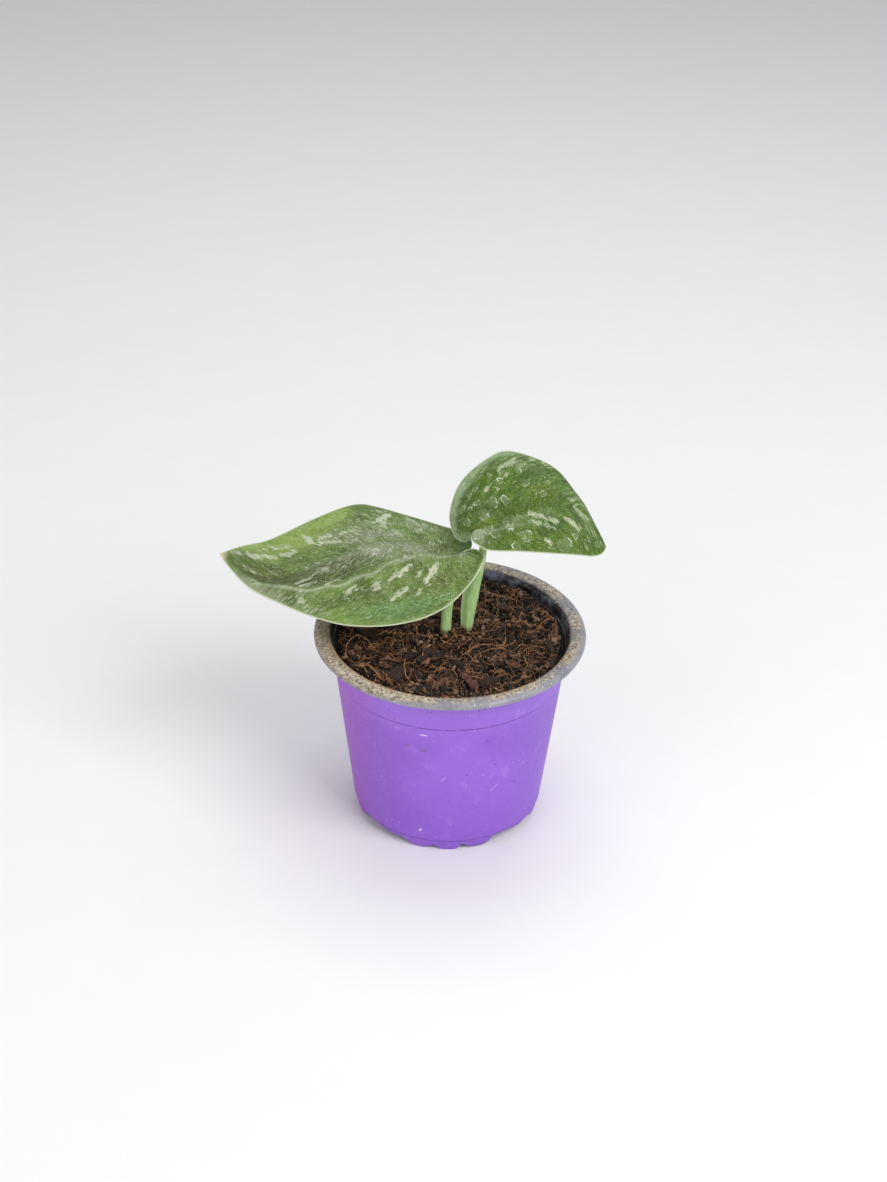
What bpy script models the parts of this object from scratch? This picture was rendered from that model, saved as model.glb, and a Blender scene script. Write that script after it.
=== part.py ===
"""Satin pothos: a young plant with two leaves, rooted in the soil of a round nursery pot.

Every length below is in millimetres, in the pot's own frame: X to the right, Y away from the
viewer, Z up, with the pot's axis at X = 0, Y = 0 and the surface that it stands on at Z = 0.
The empty named pothos carries every piece and sets that axis in the world.
"""

import math
import random

import bpy
import numpy as np

MM = 0.001

# The leaves reach further to one side than to the other, so the pot's axis stands off the origin
POT_AXIS_X = 17.0

# Pot
RIM_RADIUS = 60.0
LIP_EDGE_HEIGHT = 89.4
LIP_ROUND_WIDTH = 2.7
LIP_ROUND_HEIGHT = 2.4
LIP_INNER_RADIUS = 54.4
LIP_INNER_HEIGHT = 91.6
WALL_TOP_RADIUS = 52.85
RING_STEP_HEIGHT = 70.0
CREASE_HEIGHT = 5.7
CREASE_RADIUS = 42.8
FOOT_RADIUS = 41.5
FOOT_WALL = 1.4
FLOOR_UNDERSIDE = 5.2
FLOOR_TOP = 6.2
LEDGE_HEIGHT = 86.0
LEDGE_RADIUS = 50.9
FLOOR_EDGE_RADIUS = 41.8
FLOOR_BEVEL_WIDTH = 0.6
FLOOR_BEVEL_HEIGHT = 0.7
FOOT_DRAFT = 0.5
# Steps in the wall: what is added to the radius and the height at each of their corners
CREASE_CORNERS = ((-0.2, -0.3), (0.1, 0.2))
RING_CORNERS = ((-0.15, -0.3), (0.15, 0.1))
LIP_INNER_CORNERS = ((0.0, 0.0), (-0.8, -0.3), (-1.5, -1.0), (-2.5, -2.6))
LEDGE_CORNERS = ((0.6, 0.3), (0.0, 0.0))
LIP_ROUND_STEPS = 4

# Scalloped foot: four groups of four lobes, with a drain arch between one group and the next
FOOT_GROUPS = 4
FIRST_ARCH_CENTRE = 37.0
ARCH_WIDTH = 17.0
ARCH_STEPS = 4
ARCH_TOP = 4.9
ARCH_SIDE = 3.0
LOBE_BOTTOMS = (2.4, 0.4, 0.0, 0.6)
LOBE_STEPS = 5
NOTCH_HEIGHT = 1.8

# Drain holes in the floor
DRAIN_HOLES = 8
DRAIN_HOLE_RADIUS = 3.5
DRAIN_CIRCLE_RADIUS = 31.0
DRAIN_HOLE_SIDES = 12
DRAIN_CUT_MARGIN = 2.0

# Soil
GAP = 0.3
SOIL_SIDES = 48
SOIL_RINGS = 11
SOIL_LEVEL = 85.9
SOIL_REAR_RISE = 1.3
SOIL_LEFT_DIP = 0.9
SOIL_LUMP = 0.7

# Rootstock under the soil
CROWN_POINTS = ((-6.0, 5.8, 60.4), (-2.5, 6.0, 61.4), (1.5, 6.8, 62.0), (5.0, 7.6, 61.4), (9.0, 8.2, 59.8))
CROWN_RADII = (1.6, 3.6, 3.9, 3.6, 1.6)
CROWN_SIDES = 12
CROWN_STEPS = 8
ROOTS = 7
ROOT_SIDES = 6
ROOT_STEPS = 6
ROOT_RADII = (1.3, 1.3, 1.04, 0.6)
ROOT_REACH = 24.0
ROOT_DROP = 34.0
ROOT_BEND = 8.0
ROOT_TURN = 0.38
ROOT_TURN_SPREAD = 0.03
# Shares of the reach, the bend and the drop at each point of a root
ROOT_COURSE = ((0.0, 0.0, 0.015), (0.35, 0.5, 0.22), (0.75, 1.0, 0.55), (1.0, 0.0, 1.0))
ROOT_SEED = 7

# Petioles: centre line, then half the width and half the depth at each of its points
LARGE_PETIOLE = (
    ((-2.7, 5.9, 66.0), 2.4, 2.3),
    ((-2.2, 5.8, 76.0), 2.4, 2.3),
    ((-1.9, 5.7, 86.0), 2.35, 2.2),
    ((-1.4, 6.2, 97.0), 2.3, 2.1),
    ((0.3, 7.0, 109.3), 2.2, 2.0),
    ((1.4, 7.6, 116.7), 2.1, 1.9),
    ((2.2, 7.9, 121.6), 1.9, 1.8),
)
SMALL_PETIOLE = (
    ((5.2, 7.6, 65.8), 2.3, 2.0),
    ((6.6, 8.0, 76.0), 2.4, 2.1),
    ((7.3, 8.2, 85.8), 2.55, 2.1),
    ((7.9, 8.4, 95.0), 3.3, 2.1),
    ((8.7, 8.5, 102.5), 3.6, 2.0),
    ((10.0, 8.6, 109.5), 3.2, 1.9),
    ((11.8, 8.7, 116.0), 2.5, 1.8),
    ((13.3, 8.9, 122.5), 1.8, 1.7),
    ((13.6, 9.2, 128.5), 1.6, 1.5),
    ((12.0, 9.6, 134.3), 1.4, 1.3),
)
PETIOLE_SIDES = 14
PETIOLE_STEPS = 14
SHEATH_THINNING = 0.62

# Leaf blades
BLADE_THICKNESS = 0.8
BLADE_ROWS = 32
HALF_COLUMNS = 8
ROLL_START = 0.75
BASE_BLEND = 4.0

# Large leaf: points from where the petiole meets the blade to the tip
LARGE_MIDRIB = (
    (2.5, 8.0, 122.3), (-5.0, 8.0, 123.9), (-13.7, 8.2, 126.0), (-22.6, 8.7, 127.6),
    (-32.0, 9.3, 127.1), (-42.6, 9.6, 124.0), (-53.2, 8.6, 120.1), (-61.0, 6.6, 116.7),
    (-68.6, 4.4, 114.6), (-77.0, 2.6, 114.0), (-86.0, 2.6, 116.1), (-101.0, 8.0, 122.7),
)
LARGE_NEAR_EDGE = (
    (2.5, 8.0, 122.3), (5.4, 8.5, 125.6), (9.0, 8.0, 127.4), (11.9, 6.5, 127.4),
    (14.4, 3.5, 126.3), (10.3, -5.0, 120.5), (0.1, -14.0, 112.8), (-8.8, -18.3, 109.2),
    (-16.4, -21.0, 107.8), (-28.4, -22.6, 106.3), (-44.6, -22.4, 106.2), (-58.4, -19.5, 108.1),
    (-72.5, -14.0, 110.8), (-86.9, -6.0, 113.7), (-98.6, 6.0, 119.7), (-101.0, 8.0, 122.7),
)
LARGE_FAR_EDGE = (
    (2.5, 8.0, 122.3), (5.5, 11.5, 123.8), (8.5, 13.5, 124.7), (9.1, 16.5, 126.3),
    (6.7, 20.5, 128.3), (-4.3, 27.2, 129.0), (-18.6, 33.8, 130.4), (-32.9, 38.0, 132.2),
    (-40.2, 38.5, 133.2), (-47.2, 37.2, 132.7), (-61.2, 30.5, 129.6), (-74.9, 21.8, 126.0),
    (-81.7, 17.7, 124.6), (-91.7, 12.6, 124.5), (-101.0, 8.0, 122.7),
)
# Share of the way from base to tip, then the fold's height and its place from midrib to edge
LARGE_NEAR_FOLD = (
    (0.0, 0.3, 0.50), (0.1, 2.2, 0.40), (0.2, 3.3, 0.25), (0.3, 3.5, 0.14), (0.42, 5.5, 0.27),
    (0.5, 7.2, 0.44), (0.6, 8.0, 0.60), (0.7, 7.0, 0.74), (0.85, 3.5, 0.78), (1.0, 0.0, 0.80),
)
LARGE_FAR_FOLD = (
    (0.0, -0.6, 0.50), (0.1, -2.0, 0.50), (0.3, -3.5, 0.50), (0.6, -3.5, 0.50),
    (0.85, -2.5, 0.50), (1.0, 0.0, 0.50),
)
LARGE_LEAF = {
    "midrib": LARGE_MIDRIB, "near_edge": LARGE_NEAR_EDGE, "far_edge": LARGE_FAR_EDGE,
    "near_fold": LARGE_NEAR_FOLD, "far_fold": LARGE_FAR_FOLD,
    "vein_sweep": 1.55, "fold_rounding": 0.3, "far_roll": 2.5,
}

# Small leaf
SMALL_MIDRIB = (
    (10.9, 10.0, 135.7), (22.8, 11.2, 141.7), (36.9, 11.6, 147.0), (44.1, 11.0, 148.5),
    (50.5, 10.0, 148.7), (55.7, 8.5, 146.4), (60.2, 6.8, 141.6), (66.8, 4.0, 131.6),
)
SMALL_NEAR_EDGE = (
    (10.9, 10.0, 135.7), (9.1, 8.5, 134.8), (8.3, 7.0, 133.7), (9.2, 5.5, 132.3),
    (12.2, 3.5, 131.3), (15.5, 1.5, 130.6), (29.3, -2.5, 132.5), (46.4, -3.5, 132.2),
    (55.1, -2.0, 130.8), (60.9, 0.0, 129.2), (64.9, 2.2, 129.4), (66.8, 4.0, 131.6),
)
SMALL_FAR_EDGE = (
    (10.9, 10.0, 135.7), (9.9, 11.5, 131.8), (8.0, 12.5, 128.9), (5.0, 13.5, 127.5),
    (1.7, 15.3, 128.6), (-0.4, 17.8, 132.4), (-1.1, 20.5, 137.8), (3.4, 27.3, 149.5),
    (16.2, 33.0, 159.5), (23.1, 34.5, 161.6), (38.8, 31.8, 158.4), (46.5, 28.0, 154.9),
    (54.0, 19.5, 147.4), (58.8, 14.0, 142.3), (66.8, 4.0, 131.6),
)
SMALL_NEAR_FOLD = (
    (0.0, 0.3, 0.40), (0.12, 1.5, 0.40), (0.35, 3.5, 0.40), (0.6, 3.5, 0.40),
    (0.85, 1.5, 0.40), (1.0, 0.0, 0.40),
)
SMALL_FAR_FOLD = (
    (0.0, 0.3, 0.50), (0.12, 1.0, 0.50), (0.4, 2.2, 0.50), (0.7, 2.0, 0.50), (1.0, 0.0, 0.50),
)
SMALL_LEAF = {
    "midrib": SMALL_MIDRIB, "near_edge": SMALL_NEAR_EDGE, "far_edge": SMALL_FAR_EDGE,
    "near_fold": SMALL_NEAR_FOLD, "far_fold": SMALL_FAR_FOLD,
    "vein_sweep": 1.45, "fold_rounding": 0.5, "far_roll": 0.0,
}

# Smooth curves: steps between two of their points, and the share looked ahead for a heading
CURVE_STEPS = 16
CURVE_SAMPLES = 200
HEADING_STEP = 0.005


def clear_scene():
    for item in list(bpy.data.objects):
        bpy.data.objects.remove(item, do_unlink=True)


def make_material(name, colour, roughness, specular=0.5):
    material = bpy.data.materials.new(name)
    material.use_nodes = True
    shader = material.node_tree.nodes["Principled BSDF"]
    shader.inputs["Base Color"].default_value = (*colour, 1.0)
    shader.inputs["Roughness"].default_value = roughness
    shader.inputs["Metallic"].default_value = 0.0
    shader.inputs["Specular IOR Level"].default_value = specular
    return material


def add_mesh_object(name, points, faces, material=None, parent=None):
    """An object whose mesh is given in millimetres."""
    mesh = bpy.data.meshes.new(name)
    mesh.from_pydata([tuple(float(value) * MM for value in point) for point in points], [], faces)
    mesh.validate()
    if material:
        mesh.materials.append(material)
    item = bpy.data.objects.new(name, mesh)
    bpy.context.scene.collection.objects.link(item)
    item.parent = parent
    return item


def shade_round(item, angle_deg=35.0):
    item.data.shade_smooth()
    item.data.set_sharp_from_angle(angle=math.radians(angle_deg))


def smooth_curve(points):
    """A function from a share of the length, 0 to 1, to a point on a curve through the points."""
    ends = np.asarray(points, float)
    padded = np.vstack([2 * ends[0] - ends[1], ends, 2 * ends[-1] - ends[-2]])
    samples = []
    for first in range(len(ends) - 1):
        a, b, c, d = padded[first:first + 4]
        ta = 0.0
        tb = ta + math.sqrt(np.linalg.norm(b - a))
        tc = tb + math.sqrt(np.linalg.norm(c - b))
        td = tc + math.sqrt(np.linalg.norm(d - c))
        for t in np.linspace(tb, tc, CURVE_STEPS, endpoint=False):
            ab = ((tb - t) * a + (t - ta) * b) / (tb - ta)
            bc = ((tc - t) * b + (t - tb) * c) / (tc - tb)
            cd = ((td - t) * c + (t - tc) * d) / (td - tc)
            abc = ((tc - t) * ab + (t - ta) * bc) / (tc - ta)
            bcd = ((td - t) * bc + (t - tb) * cd) / (td - tb)
            samples.append(((tc - t) * abc + (t - tb) * bcd) / (tc - tb))
    samples.append(ends[-1])
    samples = np.array(samples)
    walked = np.concatenate([[0.0], np.cumsum(np.linalg.norm(np.diff(samples, axis=0), axis=1))])

    def at(share):
        distance = np.asarray(share, float) * walked[-1]
        return np.stack([np.interp(distance, walked, samples[:, axis]) for axis in range(3)], -1)

    return at


def eased(share, stations, value):
    """The value at a share, eased from each station of a table to the next."""
    table = np.asarray(stations, float)
    share = np.asarray(share, float)
    below = np.clip(np.searchsorted(table[:, 0], share, side="right") - 1, 0, len(table) - 2)
    part = (share - table[below, 0]) / (table[below + 1, 0] - table[below, 0])
    part = part * part * (3.0 - 2.0 * part)
    return table[below, value] + (table[below + 1, value] - table[below, value]) * part


def unit(vectors):
    return vectors / np.maximum(np.linalg.norm(vectors, axis=-1, keepdims=True), 1e-9)


def headings(line, shares):
    """Unit vectors along a curve, at each share of its length."""
    return unit(line(np.minimum(shares + HEADING_STEP, 1.0)) - line(np.maximum(shares - HEADING_STEP, 0.0)))


def facing_up(normals):
    """The normals of one sheet, all turned over together if most of them face down."""
    return normals if normals[..., 2].sum() > 0.0 else -normals


def foot_pattern():
    """Angles round the pot, from the near side towards +X, with the foot's lower edge at each."""
    group_angle = 360.0 / FOOT_GROUPS
    lobe_width = (group_angle - ARCH_WIDTH) / len(LOBE_BOTTOMS)
    pattern = []
    for group in range(FOOT_GROUPS):
        start = FIRST_ARCH_CENTRE - ARCH_WIDTH / 2 + group * group_angle
        for step in range(ARCH_STEPS):
            height = ARCH_SIDE if step == 0 else ARCH_TOP
            pattern.append((start + ARCH_WIDTH * step / ARCH_STEPS, height))
        for lobe, bottom in enumerate(LOBE_BOTTOMS):
            for step in range(LOBE_STEPS):
                off_centre = abs(2.0 * step / LOBE_STEPS - 1.0)
                flat = 1.0 / LOBE_STEPS
                rise = NOTCH_HEIGHT * (max(0.0, off_centre - flat) / (1.0 - flat)) ** 2
                height = ARCH_SIDE if lobe == 0 and step == 0 else bottom + rise
                pattern.append((start + ARCH_WIDTH + lobe_width * (lobe + step / LOBE_STEPS), height))
    return pattern


def wall_radius(height):
    """Radius of the tapered wall's outer face."""
    share = (height - CREASE_HEIGHT) / (LIP_EDGE_HEIGHT - CREASE_HEIGHT)
    return CREASE_RADIUS + (WALL_TOP_RADIUS - CREASE_RADIUS) * share


def corners(radius, height, offsets):
    return [(radius + across, height + up) for across, up in offsets]


def pot_profile():
    """Radius and height from under the floor, up the outside, over the lip and down the inside.

    A height of None is the foot's lower edge, which follows the scallops.
    """
    round_centre = RIM_RADIUS - LIP_ROUND_WIDTH
    profile = [
        (FOOT_RADIUS - FOOT_WALL + FOOT_DRAFT, FLOOR_UNDERSIDE),
        (FOOT_RADIUS - FOOT_WALL, None),
        (FOOT_RADIUS, None),
    ]
    profile += corners(CREASE_RADIUS, CREASE_HEIGHT, CREASE_CORNERS)
    profile += corners(wall_radius(RING_STEP_HEIGHT), RING_STEP_HEIGHT, RING_CORNERS)
    profile += [
        (WALL_TOP_RADIUS, LIP_EDGE_HEIGHT + 0.2),
        (WALL_TOP_RADIUS + 1.05, LIP_EDGE_HEIGHT + 1.1),
        (RIM_RADIUS - 1.4, LIP_EDGE_HEIGHT + 1.2),
        (RIM_RADIUS - 1.1, LIP_EDGE_HEIGHT),
    ]
    for step in range(LIP_ROUND_STEPS + 1):
        turn = math.radians(90.0 * step / LIP_ROUND_STEPS)
        profile.append((
            round_centre + LIP_ROUND_WIDTH * math.cos(turn),
            LIP_EDGE_HEIGHT + LIP_ROUND_HEIGHT * math.sin(turn),
        ))
    profile += corners(LIP_INNER_RADIUS, LIP_INNER_HEIGHT, LIP_INNER_CORNERS)
    profile += corners(LEDGE_RADIUS, LEDGE_HEIGHT, LEDGE_CORNERS)
    profile += [
        (FLOOR_EDGE_RADIUS, FLOOR_TOP + FLOOR_BEVEL_HEIGHT),
        (FLOOR_EDGE_RADIUS - FLOOR_BEVEL_WIDTH, FLOOR_TOP),
    ]
    return profile


def build_pot(parent, material):
    pattern = foot_pattern()
    profile = pot_profile()
    around = len(pattern)
    points = []
    for radius, height in profile:
        for angle, foot in pattern:
            turn = math.radians(angle)
            level = foot if height is None else height
            points.append((radius * math.sin(turn), -radius * math.cos(turn), level))
    faces = []
    for ring in range(len(profile) - 1):
        for step in range(around):
            beside = (step + 1) % around
            low, high = ring * around, (ring + 1) * around
            faces.append((low + step, low + beside, high + beside, high + step))
    under_centre = len(points)
    top_centre = under_centre + 1
    last = (len(profile) - 1) * around
    points += [(0.0, 0.0, FLOOR_UNDERSIDE), (0.0, 0.0, FLOOR_TOP)]
    for step in range(around):
        beside = (step + 1) % around
        faces.append((under_centre, beside, step))
        faces.append((top_centre, last + step, last + beside))
    pot = add_mesh_object("pot", points, faces, material, parent)
    cut_drain_holes(pot)
    shade_round(pot)
    return pot


def cut_drain_holes(pot):
    points = []
    faces = []
    for hole in range(DRAIN_HOLES):
        around = math.radians(FIRST_ARCH_CENTRE + 360.0 * hole / DRAIN_HOLES)
        centre = (DRAIN_CIRCLE_RADIUS * math.sin(around), -DRAIN_CIRCLE_RADIUS * math.cos(around))
        first = len(points)
        for level in (FLOOR_UNDERSIDE - DRAIN_CUT_MARGIN, FLOOR_TOP + DRAIN_CUT_MARGIN):
            for side in range(DRAIN_HOLE_SIDES):
                turn = 2.0 * math.pi * side / DRAIN_HOLE_SIDES
                points.append((
                    centre[0] + DRAIN_HOLE_RADIUS * math.cos(turn),
                    centre[1] + DRAIN_HOLE_RADIUS * math.sin(turn),
                    level,
                ))
        lower = [first + side for side in range(DRAIN_HOLE_SIDES)]
        upper = [index + DRAIN_HOLE_SIDES for index in lower]
        faces.append(tuple(reversed(lower)))
        faces.append(tuple(upper))
        for side in range(DRAIN_HOLE_SIDES):
            beside = (side + 1) % DRAIN_HOLE_SIDES
            faces.append((lower[side], lower[beside], upper[beside], upper[side]))
    cutter = add_mesh_object("drain_cutter", points, faces)
    subtract(pot, cutter)


def subtract(item, cutter):
    """Cuts the cutter out of the item and removes it; both are given in the pot's own frame."""
    cutter.parent = item.parent
    cutter.hide_render = True
    cutter.display_type = "WIRE"
    cut = item.modifiers.new("cut", "BOOLEAN")
    cut.operation = "DIFFERENCE"
    cut.solver = "EXACT"
    cut.object = cutter
    apply_modifiers(item)
    bpy.data.objects.remove(cutter, do_unlink=True)


def apply_modifiers(item):
    bpy.context.view_layer.update()
    evaluated = item.evaluated_get(bpy.context.evaluated_depsgraph_get())
    mesh = bpy.data.meshes.new_from_object(evaluated)
    item.modifiers.clear()
    old = item.data
    item.data = mesh
    mesh.name = item.name
    bpy.data.meshes.remove(old)


def soil_height(x, y):
    """Height of the soil's uneven top, higher at the rear and lower at the left wall."""
    reach = LEDGE_RADIUS
    tilt = SOIL_REAR_RISE * y / reach + SOIL_LEFT_DIP * min(0.0, x + 0.3 * reach) / reach
    lumps = math.sin(0.31 * x + 0.9) * math.cos(0.27 * y - 0.4) + 0.6 * math.sin(0.19 * (x + y))
    return SOIL_LEVEL + tilt + SOIL_LUMP * lumps


def build_soil(parent, material, cutters):
    """Soil that fills the pot to just under its lip, with holes where the plant goes through."""
    edge_radius = FLOOR_EDGE_RADIUS - GAP
    edge_level = FLOOR_TOP + FLOOR_BEVEL_HEIGHT + 2.0 * GAP
    top_radius = LEDGE_RADIUS - GAP
    points = [(0.0, 0.0, FLOOR_TOP + GAP)]
    faces = []
    for radius, level in ((edge_radius - FLOOR_BEVEL_WIDTH, FLOOR_TOP + GAP), (edge_radius, edge_level)):
        for side in range(SOIL_SIDES):
            turn = 2.0 * math.pi * side / SOIL_SIDES
            points.append((radius * math.cos(turn), radius * math.sin(turn), level))
    for ring in range(SOIL_RINGS):
        radius = top_radius * (1.0 - ring / SOIL_RINGS)
        for side in range(SOIL_SIDES):
            turn = 2.0 * math.pi * (side + 0.5 * (ring % 2)) / SOIL_SIDES
            x, y = radius * math.cos(turn), radius * math.sin(turn)
            points.append((x, y, soil_height(x, y)))
    points.append((0.0, 0.0, soil_height(0.0, 0.0)))
    rings = SOIL_RINGS + 2
    for side in range(SOIL_SIDES):
        faces.append((0, 1 + (side + 1) % SOIL_SIDES, 1 + side))
    for ring in range(rings - 1):
        low, high = 1 + ring * SOIL_SIDES, 1 + (ring + 1) * SOIL_SIDES
        for side in range(SOIL_SIDES):
            beside = (side + 1) % SOIL_SIDES
            faces.append((low + side, low + beside, high + beside))
            faces.append((low + side, high + beside, high + side))
    last = 1 + (rings - 1) * SOIL_SIDES
    for side in range(SOIL_SIDES):
        faces.append((last + side, last + (side + 1) % SOIL_SIDES, len(points) - 1))
    soil = add_mesh_object("soil", points, faces, material, parent)
    for cutter in cutters:
        subtract(soil, cutter)
    shade_round(soil, 50.0)
    return soil


def tube_mesh(centre_points, half_widths, half_depths, sides, steps, grow=0.0, thinning=0.0):
    """Points and faces of a closed tube, whose -X side thins to a wing where thinning is set."""
    line = smooth_curve(centre_points)
    shares = np.linspace(0.0, 1.0, steps + 1)
    spots = line(shares)
    ahead = headings(line, shares)
    samples = np.linspace(0.0, 1.0, CURVE_SAMPLES)
    course = line(samples)
    known = [samples[np.argmin(np.linalg.norm(course - np.array(point), axis=1))] for point in centre_points]
    widths = np.interp(shares, known, half_widths) + grow
    depths = np.interp(shares, known, half_depths) + grow
    spots[0] -= ahead[0] * grow
    spots[-1] += ahead[-1] * grow
    guide = np.array([1.0, 0.0, 0.0]) if abs(ahead[0][0]) < 0.8 else np.array([0.0, 0.0, 1.0])
    across = unit(guide - ahead * (ahead @ guide)[:, None])
    front = np.cross(ahead, across)
    points = []
    for spot, side_way, front_way, width, depth in zip(spots, across, front, widths, depths):
        for side in range(sides):
            turn = 2.0 * math.pi * side / sides
            thin = 1.0 - thinning * max(0.0, -math.cos(turn))
            off_side = side_way * width * math.cos(turn)
            points.append(spot + off_side + front_way * depth * thin * math.sin(turn))
    faces = [tuple(reversed(range(sides))), tuple(range(steps * sides, (steps + 1) * sides))]
    for ring in range(steps):
        low, high = ring * sides, (ring + 1) * sides
        for side in range(sides):
            beside = (side + 1) % sides
            faces.append((low + side, low + beside, high + beside, high + side))
    return points, faces


def petiole_mesh(stations, grow=0.0, thinning=0.0):
    centres = [station[0] for station in stations]
    widths = [station[1] for station in stations]
    depths = [station[2] for station in stations]
    return tube_mesh(centres, widths, depths, PETIOLE_SIDES, PETIOLE_STEPS, grow, thinning)


def build_petiole(name, stations, parent, material, thinning=0.0):
    petiole = add_mesh_object(name, *petiole_mesh(stations, 0.0, thinning), material, parent)
    shade_round(petiole, 50.0)
    return petiole


def rootstock_parts(grow=0.0):
    """The crown and its roots, each as the points and faces of one closed tube."""
    chance = random.Random(ROOT_SEED)
    parts = [tube_mesh(CROWN_POINTS, CROWN_RADII, CROWN_RADII, CROWN_SIDES, CROWN_STEPS, grow)]
    crown = smooth_curve(CROWN_POINTS)
    for root in range(ROOTS):
        start = crown(0.2 + 0.6 * root / (ROOTS - 1))
        heading = 2.0 * math.pi * (root * ROOT_TURN + ROOT_TURN_SPREAD * chance.random())
        reach = ROOT_REACH * (0.7 + 0.3 * chance.random())
        drop = ROOT_DROP * (0.75 + 0.25 * chance.random())
        outward = np.array([math.cos(heading), math.sin(heading), 0.0])
        bend = np.array([-outward[1], outward[0], 0.0]) * (chance.random() - 0.5) * ROOT_BEND
        span = np.array([outward * reach, bend, (0.0, 0.0, -drop)])
        centres = [start + np.array(shares) @ span for shares in ROOT_COURSE]
        parts.append(tube_mesh(centres, ROOT_RADII, ROOT_RADII, ROOT_SIDES, ROOT_STEPS, grow))
    return parts


def united(name, parts, material=None, parent=None):
    """One object from closed parts that overlap, joined by a Boolean union on their collection."""
    first = add_mesh_object(name, *parts[0], material, parent)
    group = bpy.data.collections.new(name + "_parts")
    bpy.context.scene.collection.children.link(group)
    for number, part in enumerate(parts[1:]):
        piece = add_mesh_object(f"{name}_part_{number}", *part, None, parent)
        bpy.context.scene.collection.objects.unlink(piece)
        group.objects.link(piece)
    join = first.modifiers.new("join", "BOOLEAN")
    join.operation = "UNION"
    join.solver = "EXACT"
    join.operand_type = "COLLECTION"
    join.collection = group
    apply_modifiers(first)
    for piece in list(group.objects):
        bpy.data.objects.remove(piece, do_unlink=True)
    bpy.data.collections.remove(group)
    return first


def smaller(first, second, rounding):
    """The smaller of two values, with the corner between them rounded."""
    blend = np.clip(0.5 + 0.5 * (second - first) / rounding, 0.0, 1.0)
    return second * (1.0 - blend) + first * blend - rounding * blend * (1.0 - blend)


def fold_shape(across, place, rounding):
    """A rounded roof over a half blade, 0 at midrib and edge, with its ridge at the place."""
    roof = smaller(across / place, (1.0 - across) / (1.0 - place), rounding)
    at_midrib = smaller(0.0 * place, 1.0 / (1.0 - place), rounding)
    at_edge = smaller(1.0 / place, 0.0 * place, rounding)
    return roof - at_midrib * (1.0 - across) - at_edge * across


def half_blade(leaf, near):
    """Rows of points from the midrib to the near or the far edge, as the side veins run.

    A fold of positive height is a ridge along the half, and a negative one hollows it.
    """
    midrib = smooth_curve(leaf["midrib"])
    edge = smooth_curve(leaf["near_edge"] if near else leaf["far_edge"])
    fold = leaf["near_fold"] if near else leaf["far_fold"]
    rows = np.arange(BLADE_ROWS + 1) / BLADE_ROWS
    along = rows ** leaf["vein_sweep"]
    inner = midrib(along)
    chord = edge(rows) - inner
    upward = facing_up(unit(np.cross(chord, headings(midrib, along))))
    across = np.linspace(0.0, 1.0, HALF_COLUMNS + 1)[None, :]
    height = eased(rows, fold, 1)[:, None]
    place = eased(rows, fold, 2)[:, None]
    if near:
        lift = height * fold_shape(across, place, leaf["fold_rounding"])
    else:
        rolled = np.clip((across - ROLL_START) / (1.0 - ROLL_START), 0.0, 1.0) ** 2
        mid_length = np.sqrt(np.sin(math.pi * rows))[:, None]
        lift = height * np.sin(math.pi * across) - leaf["far_roll"] * rolled * mid_length
    return inner[:, None] + chord[:, None] * across[..., None] + upward[:, None] * lift[..., None]


def blade_mesh(near_half, far_half):
    """A closed blade of even thickness, split into triangles alike on both faces."""
    sheet = np.concatenate([near_half[:, :0:-1], far_half], axis=1)
    rows, columns = sheet.shape[0] - 1, sheet.shape[1]
    down_rows = np.gradient(sheet, axis=0)
    over_columns = np.gradient(sheet, axis=1)
    crossed = unit(np.cross(over_columns, down_rows))
    normals = facing_up(crossed)
    outward = np.sum(crossed * normals) > 0.0
    base_normal = unit(normals[1:4].mean(axis=(0, 1)))
    tip_normal = unit(normals[-4:-1].mean(axis=(0, 1)))
    from_base = np.linalg.norm(sheet - sheet[0, 0], axis=2)[..., None]
    near_base = np.clip(1.0 - from_base / BASE_BLEND, 0.0, 1.0)
    normals = unit(normals * (1.0 - near_base) + base_normal * near_base)
    normals[0], normals[-1] = base_normal, tip_normal
    points = []
    for face_side in (0.5, -0.5):
        shifted = sheet + normals * BLADE_THICKNESS * face_side
        points.append(shifted[0, 0])
        points += list(shifted[1:rows].reshape(-1, 3))
        points.append(shifted[rows, 0])
    layer = (rows - 1) * columns + 2

    def index(row, column):
        if row == 0:
            return 0
        if row == rows:
            return layer - 1
        return 1 + (row - 1) * columns + column

    upper = []
    for row in range(rows):
        for column in range(columns - 1):
            here, beside = index(row, column), index(row, column + 1)
            below, opposite = index(row + 1, column), index(row + 1, column + 1)
            upper.append((here, beside, opposite))
            upper.append((here, opposite, below))
    upper = [face for face in upper if len(set(face)) == 3]
    faces = upper + [tuple(layer + corner for corner in reversed(face)) for face in upper]
    rim = [index(row, 0) for row in range(rows + 1)]
    rim += [index(row, columns - 1) for row in range(rows - 1, 0, -1)]
    for step, corner in enumerate(rim):
        beside = rim[(step + 1) % len(rim)]
        faces.append((corner, beside, layer + beside))
        faces.append((corner, layer + beside, layer + corner))
    if not outward:
        faces = [tuple(reversed(face)) for face in faces]
    return points, faces


def build_leaf(name, leaf, parent, material):
    points, faces = blade_mesh(half_blade(leaf, True), half_blade(leaf, False))
    blade = add_mesh_object(name, points, faces, material, parent)
    shade_round(blade, 60.0)
    return blade


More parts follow.
